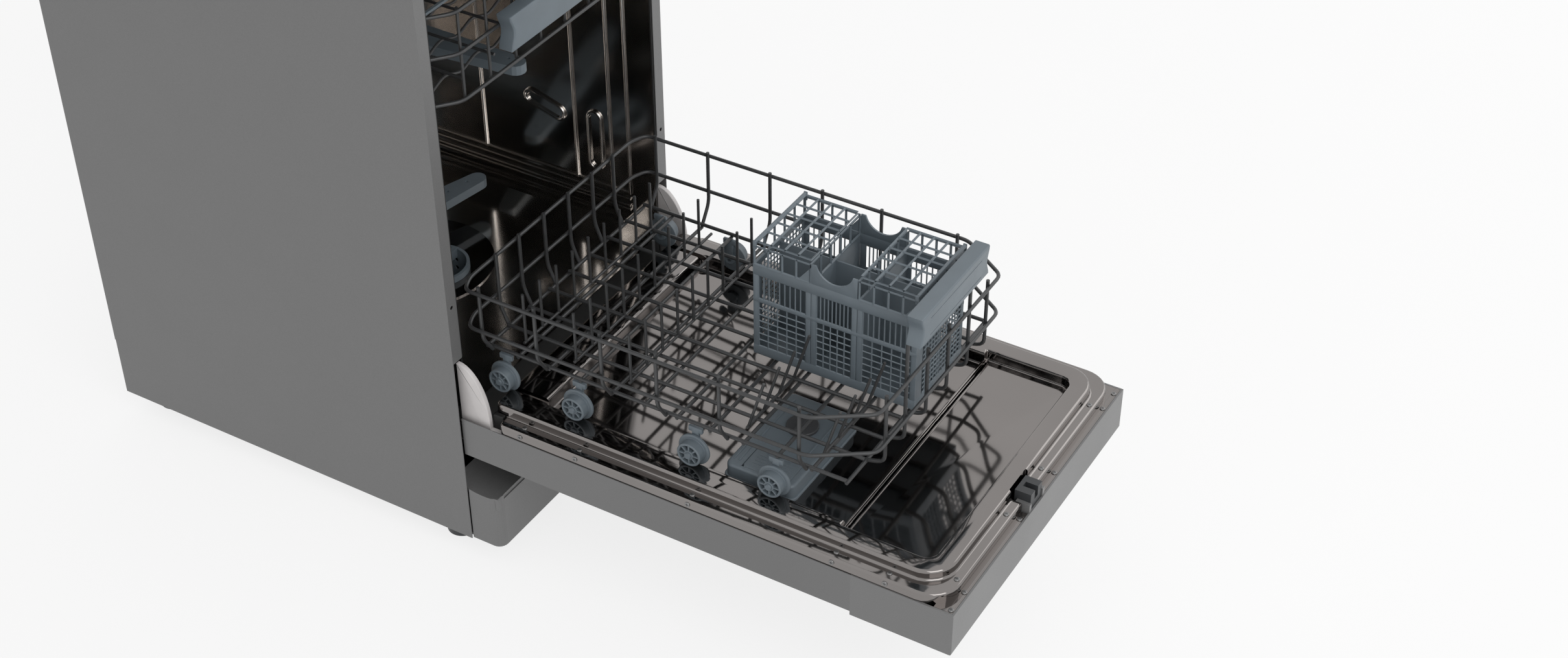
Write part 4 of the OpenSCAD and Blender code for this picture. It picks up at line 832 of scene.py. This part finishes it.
class DISHWASHER_OT_cutlery(bpy.types.Operator):
    """Models the cutlery basket: gridded walls, a rim, open cages and two lattice lids"""

    bl_idname = "dishwasher.cutlery"
    bl_label = "Cutlery basket"

    def execute(self, context):
        size = context.scene.dishwasher_cutlery
        wall, bar, cage = size.wall / MM, size.bar / MM, size.cage / MM
        x0, x1, y0, y1 = -26, 89, -488.5, -280
        foot, rim, top = 78.5, 204.5, 229.9
        # The two cages stand over the end zones, each as long as its lid
        zone = 75
        zones = ((y0, y0 + zone), (y0 + zone, y1 - zone), (y1 - zone, y1))
        # Blocks that would share a face are sunk this far into their neighbours
        sink = 0.2
        post, band, belt, rim_low = 7, 12.5, 153, 190
        divider = rim - 4
        columns, cage_rows = 5, 4
        pieces = [
            soft_block(x0 + 1, y0 + 1, foot + sink, x1 - 1, y1 - 1, foot + wall),
            soft_block(x0 + 56.4, y0 + 1, foot + 1, x0 + 58.6, y1 - 1, divider),
            soft_block(x0 + 1, y0 + zone - wall, foot + 1, x1 - 1, y0 + zone, divider - sink),
            soft_block(x0 + 1, y1 - zone, foot + 1, x1 - 1, y1 - zone + wall, divider - sink),
        ]
        for a, b in ((x0, x0 + wall), (x1 - wall, x1)):
            middle = (a + b) / 2
            for low, high in ((foot, foot + band), (belt, belt + 5), (rim_low, rim)):
                pieces.append(soft_block(a, y0, low, b, y1, high))
            for start, end in zones:
                for y in (start, end - post):
                    pieces.append(soft_block(
                        a + sink, y + sink, foot + 1, b - sink, y + post - sink, rim - 1))
                for low, high, count, cells in (
                        (foot + band - 1, belt + 1, 5, size.side_cells), (belt + 4, rim_low + 1, 9, 1)):
                    pieces.append(lattice(
                        (middle, start + post - 1, low), (middle, end - post + 1, high), count, cells, bar))
            for start, end in (zones[0], zones[2]):
                pieces.append(lattice((middle, start, rim - 2), (middle, end, top), cage_rows, 1, cage))
                pieces.append(gusset(a + 0.4, b - 0.4, start, rim - 1, run=17, rise=22))
            saddle = soft_block(a, y0 + zone, rim - 1, b, y1 - zone, top)
            dip = turned(rod(x0 - OVERRUN, x1 + OVERRUN, 24), at(0, (y0 + y1) / 2, 236))
            combine(saddle, dip)
            pieces.append(saddle)
        for a, b in ((y0, y0 + wall), (y1 - wall, y1)):
            middle = (a + b) / 2
            for low, high in ((foot, foot + band), (rim - 8.5, rim)):
                pieces.append(soft_block(
                    x0 + sink, a + sink, low + sink, x1 - sink, b - sink, high - sink))
            for left, right in ((x0, x0 + 17), (x1 - 6, x1)):
                pieces.append(soft_block(left + 0.4, a + 0.4, foot + 1, right - 0.4, b - 0.4, rim - 1))
            low, high = (x0 + 16, middle, foot + band - 1), (x1 - 5, middle, rim - 7.5)
            pieces.append(lattice(low, high, 13, size.end_cells, bar))
            pieces.append(lattice((x0, middle, rim - 2), (x1, middle, top), columns, 1, cage))
        for y in (y0 + zone - wall / 2, y1 - zone + wall / 2):
            pieces.append(lattice((x0, y, divider), (x1, y, top), columns, 1, cage))
        # The lids' hinges: a lug on each corner and a barrel between two lugs
        barrel, hinge_z = 2.4, 232.9
        for y in (y0 + barrel, y1 - barrel):
            for a, b in ((x0, x0 + wall), (x1 - wall, x1)):
                pieces.append(soft_block(
                    a, y - barrel, top - 6, b, y + barrel, hinge_z + barrel, radius=0.8))
        settle(smooth(join(pieces), 30), "cutlery_body", "cutlery_basket", "basket_plastic",
               "cutlery_basket")
        left, right = x0 + 2.5, x1 - 2.5
        for name, hinge, free in (("front", y0 + barrel, y0 + zone), ("rear", y1 - barrel, y1 - zone)):
            a, b = sorted((hinge, free))
            lid = join([
                turned(rod(left, right, barrel), at(0, hinge, hinge_z), 16),
                lattice((left, a, hinge_z), (right, b, hinge_z), columns, cage_rows, cage),
            ])
            settle(smooth(lid, 30), f"cutlery_cover_{name}", f"cutlery_lid_{name}", "basket_plastic",
                   f"cutlery_lid_{name}")
        return {"FINISHED"}


# Handles


def handle_bar(half, y0, y1, z0, z1, depth):
    """A grip with waved ends and rounded edges: its ends are cut into rows, then moved in."""
    piece = block(-half, y0, z0, half, y1, z1)
    rows = 8
    heights = [z0 + (z1 - z0) * i / rows for i in range(1, rows)]
    for z in heights:
        edit_all(piece)
        bpy.ops.mesh.bisect(plane_co=at(0, 0, z), plane_no=(0, 0, 1))
        close_edit()
    bpy.ops.object.mode_set(mode="EDIT")
    bpy.ops.mesh.select_mode(type="VERT")
    for side in (-1, 1):
        for i, z in enumerate(heights, 1):
            height = z * MM + DOOR_Z
            choose(piece, lambda place: abs(place.z - height) < MM / 20 and place.x * side > 0)
            inwards = depth * (1 - math.cos(2 * math.pi * i / rows)) / 2
            bpy.ops.transform.translate(value=(-side * inwards * MM, 0, 0))
    close_edit()
    round_edges(piece, facing(y0), 2.2, segments=4, sharp=0.6)
    round_edges(piece, facing(y1), 1.2, segments=3, sharp=0.6)
    return piece


class DISHWASHER_OT_handles(bpy.types.Operator):
    """Models the grips of the two baskets"""

    bl_idname = "dishwasher.handles"
    bl_label = "Basket handles"

    def execute(self, context):
        face, back, low, high = -520.5, -501.5, 213, 251
        grip = handle_bar(80, face, back, low, high, depth=5)
        combine(grip, block(-70, face + 3, low + 6, 70, back + 11.5, high - 11))
        groove, groove_half, groove_deep = 0.7, 60, 0.6
        for z in (low + 6.5, high - 9.5):
            combine(grip, block(
                -groove_half, face - 9.5, z, groove_half, face + groove_deep, z + groove))
        settle(smooth(grip, 35), "lower_grip", "lower_basket", "basket_plastic", "lower_handle")
        grip = handle_bar(85, -14, 5.4, 425, 468, depth=6)
        settle(smooth(grip, 35), "upper_grip", "upper_basket", "basket_plastic", "upper_handle")
        return {"FINISHED"}


# Tub


def stadium(x, y, z, length, width, tilt):
    """The points of a long oval on the wall plane x, tilted in depth and height."""
    points = []
    half = (length - width) / 2
    steps = 8
    cos, sin = math.cos(tilt), math.sin(tilt)
    for end in (1, -1):
        for k in range(steps + 1):
            a = math.pi * (k / steps - end / 2)
            u = end * half + width / 2 * math.cos(a)
            v = width / 2 * math.sin(a)
            points.append(at(x, y + u * cos - v * sin, z + u * sin + v * cos))
    return points


class DISHWASHER_OT_tub_pressings(bpy.types.Operator):
    """Models the soft ridges of the tub's pressed ovals and ribs"""

    bl_idname = "dishwasher.tub_pressings"
    bl_label = "Tub pressings"

    def execute(self, context):
        ridge = 4.4
        oval_w = 20
        low, high, rear_high = 54, 556, 372
        front, back = 42, 540
        runs = []
        for side in (-1, 1):
            x = side * 202.6
            runs.append((stadium(x, 92, 119, 86, oval_w, math.pi / 2), True))
            runs.append((stadium(x, 168.5, 149, 61.7, oval_w, math.atan2(18, 59)), True))
            x = side * 203.2
            for y, top in ((41.5, high), (68.5, high), (122.5, high), (268, rear_high), (363, rear_high)):
                runs.append(straight((x, y, low), (x, y, top)))
            for z in (30, 35.5, 46, 55.5):
                runs.append(straight((x, front, z), (x, back, z)))
        settle(wire_piece(runs, ridge * MM), "tub_ridges", "cabinet", "tub_steel")
        return {"FINISHED"}


# Door


class LinerSettings(bpy.types.PropertyGroup):
    ledge: FloatProperty(
        name="Ledge", description="Height of the liner's ledge", default=12.4 * MM, unit="LENGTH")
    rim: FloatProperty(
        name="Rim", description="Height of the liner's rim", default=24.7 * MM, unit="LENGTH")
    floor: FloatProperty(
        name="Recess", description="Height of the recess", default=7 * MM, unit="LENGTH")
    lip: FloatProperty(
        name="Lip", description="Radius of the rim's edges", default=3.5 * MM, unit="LENGTH")


class DISHWASHER_OT_door_liner(bpy.types.Operator):
    """Models the polished liner with its two tiers, rounded rims and recess"""

    bl_idname = "dishwasher.door_liner"
    bl_label = "Door liner"

    def execute(self, context):
        size = context.scene.dishwasher_liner
        ledge, rim, floor = size.ledge / MM, size.rim / MM, size.floor / MM
        half, front, back = 218.7, -630.5, -52
        corner, back_corner = 36, 8
        shelf, above = floor + 3, rim + 10
        liner = outline_block(-half, front, half, back, corner, back_corner, -1, ledge)
        tier = outline_block(-201, -617, 201, -36, corner, back_corner, -2, rim)
        combine(liner, tier, "UNION")
        combine(liner, outline_block(-177.5, -592.6, 177.5, -481.7, 14, 1, shelf, above))
        combine(liner, outline_block(-170, -483, 170, -85, 1, 8, floor, above))
        round_edges(liner, level(rim), size.lip / MM, segments=6)
        round_edges(liner, level(ledge), 3.0, segments=5)
        round_edges(liner, level(shelf), 2.4)
        round_edges(liner, level(floor), 2.4)
        for side in (-1, 1):
            a, b = mirrored(163, 169.9, side)
            combine(liner, block(a, -96, rim - 6, b, -30, above))
        plate = block(-217.2, -638, -1, 217.2, -616, 0)
        for y in (-637, -632.2):
            combine(plate, block(-230, y, -0.3, 230, y + 0.5, 2))
        combine(liner, plate, "UNION")
        latch_notch = outline_block(-36, -645, 6, -614, 1, 2, -5, rim + OVERRUN)
        combine(liner, latch_notch)
        # The bead between the recess and its shelf, with a groove along it
        bead = block(-169.8, -488, floor - 0.2, 169.8, -477.6, floor + 4)
        combine(bead, block(-172, -485.4, floor + 1.2, 172, -480.4, floor + 9))
        height = floor * MM + DOOR_Z
        round_edges(bead, lambda a, b: min(a.z, b.z) > height, 0.9)
        settle(smooth(join([liner, bead]), 40), "liner_shell", "door", "liner_steel", "door_liner")
        return {"FINISHED"}


def screw_head():
    """A low round head with a cross cut into it, on the world's origin."""
    radius, thick, slot_w, slot_l = 3.2, 1.2, 0.7, 3.4
    only()
    bpy.ops.mesh.primitive_cylinder_add(
        vertices=20, radius=radius * MM, depth=thick * MM, location=(0, 0, thick / 2 * MM))
    head = bpy.context.object
    apply_place()
    round_edges(head, lambda a, b: min(a.z, b.z) > MM, 0.6, segments=3)
    for w, l in ((slot_w, slot_l), (slot_l, slot_w)):
        only()
        bpy.ops.mesh.primitive_cube_add(size=1, location=(0, 0, 1.1 * MM))
        slot = bpy.context.object
        slot.scale = (w * MM, l * MM, MM)
        apply_place()
        combine(head, slot)
    return smooth(head, 40)


class DISHWASHER_OT_liner_screws(bpy.types.Operator):
    """Models one cross-headed screw and sets a copy in each of the liner's holes"""

    bl_idname = "dishwasher.liner_screws"
    bl_label = "Liner screws"

    def execute(self, context):
        ledge_z, side_x, side_z, flank_x = 12.4, 208, 6.5, 218.7
        end_y, plate_y, plate_z = -623.7, -634.3, 0
        first = screw_head()
        heads = []
        for y in (-83, -159, -310, -493, -558):
            for side in (-1, 1):
                heads.append(copy_moved(first, at(side * side_x, y, ledge_z)))
                only(first)
                bpy.ops.object.duplicate(linked=False)
                twin = bpy.context.object
                twin.rotation_euler = (0, side * math.pi / 2, 0)
                twin.location = at(side * flank_x, y, side_z)
                apply_place()
                heads.append(twin)
        for x in (-180, -61, 28, 158):
            heads.append(copy_moved(first, at(x, end_y, ledge_z)))
        for x in (-213, -182, -48, 42, 174, 206):
            heads.append(copy_moved(first, at(x, plate_y, plate_z)))
        bpy.data.objects.remove(first)
        settle(join(heads), "screw_heads", "door", "zinc_steel", "liner_screws")
        return {"FINISHED"}


class DISHWASHER_OT_ears(bpy.types.Operator):
    """Models the white quarter-round ears of the hinge levers and the rubber corners"""

    bl_idname = "dishwasher.ears"
    bl_label = "Hinge ears and seals"

    def execute(self, context):
        settle(smooth(join(self.levers()), 40), "hinge_ears", "door", "ear_plastic", "hinge_levers")
        settle(join(self.seals()), "door_rubber", "door", "black_rubber", "door_seal")
        return {"FINISHED"}

    def levers(self):
        """An ear, rounded by crossing it with a stretched disc, its lever and its foot."""
        inner, outer, foot_outer = 208, 214, 218.9
        front, back, low, top = -37, 4, -34, 76
        bend_z, lever_top, reach = -2, -6, -120
        wide = 230
        pieces = []
        for side in (-1, 1):
            a, b = mirrored(inner, outer, side)
            ear = block(a, front, low, b, back, top)
            disc = turned(rod(-wide, wide, 1), at(0, back, bend_z), 48)
            edit_all(disc)
            bpy.ops.transform.resize(
                value=(1, back - front, top - bend_z), center_override=at(0, back, bend_z))
            close_edit()
            combine(disc, block(-wide, front, low, wide, back, bend_z), "UNION")
            combine(ear, disc, "INTERSECT")
            round_edges(ear, any_edge, 0.8, segments=3, sharp=0.9)
            lever = block(a, reach, low, b, -30, lever_top)
            a, b = mirrored(outer, foot_outer, side)
            pieces += [ear, lever, block(a, reach, low, b, -62, lever_top)]
        return pieces

    def seals(self):
        """A ribbed corner at each end of the sill and the strip between them."""
        pieces = []
        for side in (-1, 1):
            a, b = mirrored(201.3, 207.6, side)
            corner = block(a, -51.5, -8, b, -38, 14)
            round_edges(corner, any_edge, 1.2, segments=3)
            pieces.append(corner)
            for i in range(5):
                low = 3.6 * i - 5
                pieces.append(block(a, -51.9, low, b, -50.9, low + 1.4))
        strip = block(-198, -35.7, 0, 198, -30.2, 5)
        round_edges(strip, any_edge, 1.6, segments=3)
        return pieces + [strip]


class DispenserSettings(bpy.types.PropertyGroup):
    top: FloatProperty(
        name="Top", description="Height of the dispenser's face", default=27 * MM, unit="LENGTH")
    round: FloatProperty(
        name="Rounding", description="Radius of its upper edge", default=3.5 * MM, unit="LENGTH")
    grips: IntProperty(name="Cap grips", description="Notches round the rinse-aid cap", default=24)


class DISHWASHER_OT_dispenser(bpy.types.Operator):
    """Models the dispenser's body, its hinged lid and the rinse-aid cap"""

    bl_idname = "dishwasher.dispenser"
    bl_label = "Dispenser"

    # The detergent cup's lid, and the middle of the rinse-aid cap
    lid = (-150, -400, -114, -340)
    cap_x, cap_y = -60, -365

    def execute(self, context):
        size = context.scene.dishwasher_dispenser
        top = size.top / MM
        settle(smooth(self.body(top, size.round / MM), 35), "dispenser_body", "door", "basket_plastic",
               "dispenser")
        settle(smooth(self.flap(top), 35), "dispenser_flap", "dispenser_lid", "basket_plastic",
               "dispenser_lid")
        settle(smooth(self.cap(top, size.grips), 35), "rinse_aid_cap", "rinse_cap", "pump_plastic",
               "rinse_cap")
        return {"FINISHED"}

    def body(self, top, rounding):
        """The box with its cup, the lid's seat, the cap's bore, a flange and four ribs."""
        x0, y0, x1, y1 = self.lid
        above = top + OVERRUN
        gap = 0.3
        body = outline_block(-157.5, -408.5, -10.5, -320.5, 9, 9, 7.2, top)
        round_edges(body, level(top), rounding, segments=5)
        combine(body, outline_block(x0 - 0.6, y0 - gap, x1 + gap, y1 + gap, 3, 3, top - 7, above))
        combine(body, outline_block(x0 + 4.4, y0 + 2, x1 - 2, y1 - 2, 4, 4, 9, above))
        combine(body, turned_up(self.cap_x, self.cap_y, 12.1, 9, above))
        combine(body, block(x0 - 2.9, y0 - gap, top - 5.3, x0 + 4, y1 + gap, above))
        flange = outline_block(-160, -411, -8, -318, 10, 10, 7.05, 10.4)
        round_edges(flange, level(10.4), 1.4)
        parts = [body, flange, block(-155.7, -406.7, -30, -12.3, -322.3, 8.6)]
        rib_low, rib_high, rib_w = top - 0.6, top + 0.9, 2.2
        for y in (-334, -327.5):
            parts.append(soft_block(-146, y, rib_low, -118, y + rib_w, rib_high))
        for y in (-396, -334):
            parts.append(soft_block(-98, y, rib_low, -22, y + rib_w, rib_high))
        return join(parts)

    def flap(self, top):
        """The lid with its hinge barrel, a finger ridge and four grip ribs."""
        x0, y0, x1, y1 = self.lid
        thick, sink = 2.5, 0.4
        lid = outline_block(x0, y0, x1, y1, 3, 3, top - thick, top)
        round_edges(lid, level(top), 1.1)
        middle = (y0 + y1) / 2
        barrel = turned(rod(-28, 28, 2.2), at(0, middle, top - thick), 20)
        turn_flat(barrel, x0, middle)
        ridge = soft_block(x1 - 7, middle - 16, top - sink, x1 - 3.6, middle + 16, top + 1, radius=0.6)
        parts = [lid, barrel, ridge]
        for i in range(4):
            x = x0 + 8 + 5 * i
            parts.append(soft_block(
                x, middle - 22, top - sink, x + 1.4, middle + 22, top + 0.5, radius=0.4))
        return join(parts)

    def cap(self, top, grips):
        """The cap with its notched edge, a bar to turn it by and its stem."""
        x, y = self.cap_x, self.cap_y
        radius, high = 19, top + 4
        cap = turned_up(x, y, radius, top + 0.3, high)
        round_edges(cap, level(high), 1.2)
        for i in range(grips):
            a = 2 * math.pi * i / grips
            notch_x, notch_y = x + (radius + 0.4) * math.cos(a), y + (radius + 0.4) * math.sin(a)
            combine(cap, turned_up(notch_x, notch_y, 0.9, top - 1, top + 2.6, 10))
        bar = soft_block(x - 17, y - 2.5, high - 0.4, x + 17, y + 2.5, high + 4, radius=1.2)
        return join([cap, bar, turned_up(x, y, 12, 7.5, top + 0.6)])


# Stage


class StageSettings(bpy.types.PropertyGroup):
    floor: FloatVectorProperty(
        name="Floor", description="Colour of the floor", subtype="COLOR", default=(0.96, 0.96, 0.96))
    haze: FloatProperty(
        name="Haze", description="How far the floor fades into the backdrop", subtype="FACTOR",
        default=0.8)
    key: FloatProperty(name="Key light", description="Power of the main lamp", default=42.0, unit="POWER")
    fill: FloatProperty(name="Fill light", description="Power of the side lamp", default=14.0, unit="POWER")
    sky: FloatProperty(name="Sky", description="Strength of the light from all round", default=0.62)


def backdrop_rays(nodes, links, share):
    """The given share for rays from the camera or off metal and glass, else none."""
    path = nodes.new("ShaderNodeLightPath")
    first, second, scaled = (nodes.new("ShaderNodeMath") for _ in range(3))
    first.operation = second.operation = "MAXIMUM"
    scaled.operation = "MULTIPLY"
    scaled.inputs[1].default_value = share
    links.new(path.outputs["Is Camera Ray"], first.inputs[0])
    links.new(path.outputs["Is Glossy Ray"], first.inputs[1])
    links.new(first.outputs["Value"], second.inputs[0])
    links.new(path.outputs["Is Transmission Ray"], second.inputs[1])
    links.new(second.outputs["Value"], scaled.inputs[0])
    return scaled.outputs["Value"]


def lay_floor(size):
    """A plane that fades into the white backdrop and keeps the object's shadow."""
    only()
    bpy.ops.mesh.primitive_plane_add(size=14, location=(0, 0, 0))
    floor = bpy.context.object
    floor.name = "floor"
    maker = MaterialMaker("floor", tuple(size.floor), metallic=0.0, roughness=0.7)
    nodes, links = maker.nodes, maker.links
    maker.mottle(maker.noise(scale=3, detail=2), amount=0.01)
    glow = nodes.new("ShaderNodeEmission")
    glow.inputs["Color"].default_value = (1, 1, 1, 1)
    mix = nodes.new("ShaderNodeMixShader")
    links.new(backdrop_rays(nodes, links, size.haze), mix.inputs["Fac"])
    links.new(maker.shader.outputs["BSDF"], mix.inputs[1])
    links.new(glow.outputs["Emission"], mix.inputs[2])
    links.new(mix.outputs["Shader"], nodes["Material Output"].inputs["Surface"])
    floor.data.materials.append(maker.material)


def light_sky(scene, strength):
    """Soft light from all round, seen as plain white."""
    world = bpy.data.worlds.new("studio")
    scene.world = world
    world.use_nodes = True
    nodes, links = world.node_tree.nodes, world.node_tree.links
    light = nodes["Background"]
    white = nodes.new("ShaderNodeBackground")
    for background, power in ((light, strength), (white, 1.0)):
        background.inputs["Color"].default_value = (1, 1, 1, 1)
        background.inputs["Strength"].default_value = power
    mix = nodes.new("ShaderNodeMixShader")
    links.new(backdrop_rays(nodes, links, 1.0), mix.inputs["Fac"])
    links.new(light.outputs["Background"], mix.inputs[1])
    links.new(white.outputs["Background"], mix.inputs[2])
    links.new(mix.outputs["Shader"], nodes["World Output"].inputs["Surface"])


def area_lamp(name, place, aim, side, power):
    bpy.ops.object.light_add(type="AREA", location=place)
    lamp = bpy.context.object
    lamp.name = name
    lamp.data.shape = "RECTANGLE"
    lamp.data.size = lamp.data.size_y = side
    lamp.data.energy = power
    lamp.rotation_euler = (Vector(aim) - Vector(place)).to_track_quat("-Z", "Y").to_euler()


def set_camera(scene):
    """The photograph's viewing angle: its place in metres, its turn and its focal length."""
    eye = (-1.7973, -1.3215, 1.9142)
    yaw, pitch = math.radians(59.55), math.radians(37.42)
    focal_px, frame_px, sensor = 3535, 2419, 36
    look = Vector((math.sin(yaw) * math.cos(pitch), math.cos(yaw) * math.cos(pitch), -math.sin(pitch)))
    bpy.ops.object.camera_add(location=eye)
    camera = bpy.context.object
    camera.rotation_euler = look.to_track_quat("-Z", "Y").to_euler()
    camera.data.sensor_width = sensor
    camera.data.lens = sensor * focal_px / frame_px
    camera.data.clip_end = 50
    scene.camera = camera


class DISHWASHER_OT_stage(bpy.types.Operator):
    """Lays the floor and sets the lamps, the world and the camera"""

    bl_idname = "dishwasher.stage"
    bl_label = "Stage"

    def execute(self, context):
        size = context.scene.dishwasher_stage
        lay_floor(size)
        light_sky(context.scene, size.sky)
        aim = (0, 0, 0.3)
        area_lamp("key", (-1.6, -2.6, 2.6), aim, 2.4, size.key)
        area_lamp("fill", (2.6, -1.4, 2.0), aim, 2, size.fill)
        set_camera(context.scene)
        context.scene.view_settings.view_transform = "Standard"
        return {"FINISHED"}


class DISHWASHER_PT_build(bpy.types.Panel):
    """Lists the steps that dress the dishwasher's frame"""

    bl_label = "Dishwasher"
    bl_space_type = "VIEW_3D"
    bl_region_type = "UI"
    bl_category = "Dishwasher"

    def draw(self, context):
        for step in STEPS:
            self.layout.operator(step.bl_idname)


STEPS = (
    DISHWASHER_OT_finishes,
    DISHWASHER_OT_door_liner,
    DISHWASHER_OT_lower_wires,
    DISHWASHER_OT_upper_wires,
    DISHWASHER_OT_wheels,
    DISHWASHER_OT_axle_clips,
    DISHWASHER_OT_handles,
    DISHWASHER_OT_cutlery,
    DISHWASHER_OT_tub_pressings,
    DISHWASHER_OT_liner_screws,
    DISHWASHER_OT_ears,
    DISHWASHER_OT_dispenser,
    DISHWASHER_OT_stage,
)
SETTINGS = {
    "dishwasher_look": LookSettings,
    "dishwasher_wires": WireSettings,
    "dishwasher_liner": LinerSettings,
    "dishwasher_wheels": WheelSettings,
    "dishwasher_cutlery": CutlerySettings,
    "dishwasher_dispenser": DispenserSettings,
    "dishwasher_stage": StageSettings,
}


def register():
    for group in SETTINGS.values():
        bpy.utils.register_class(group)
    for step in STEPS:
        bpy.utils.register_class(step)
    bpy.utils.register_class(DISHWASHER_PT_build)
    for name, group in SETTINGS.items():
        setattr(bpy.types.Scene, name, PointerProperty(type=group))


def unregister():
    for name in SETTINGS:
        delattr(bpy.types.Scene, name)
    bpy.utils.unregister_class(DISHWASHER_PT_build)
    for step in reversed(STEPS):
        bpy.utils.unregister_class(step)
    for group in reversed(SETTINGS.values()):
        bpy.utils.unregister_class(group)


def main():
    register()
    for step in STEPS:
        area, name = step.bl_idname.split(".")
        getattr(getattr(bpy.ops, area), name)()


if __name__ == "__main__":
    main()
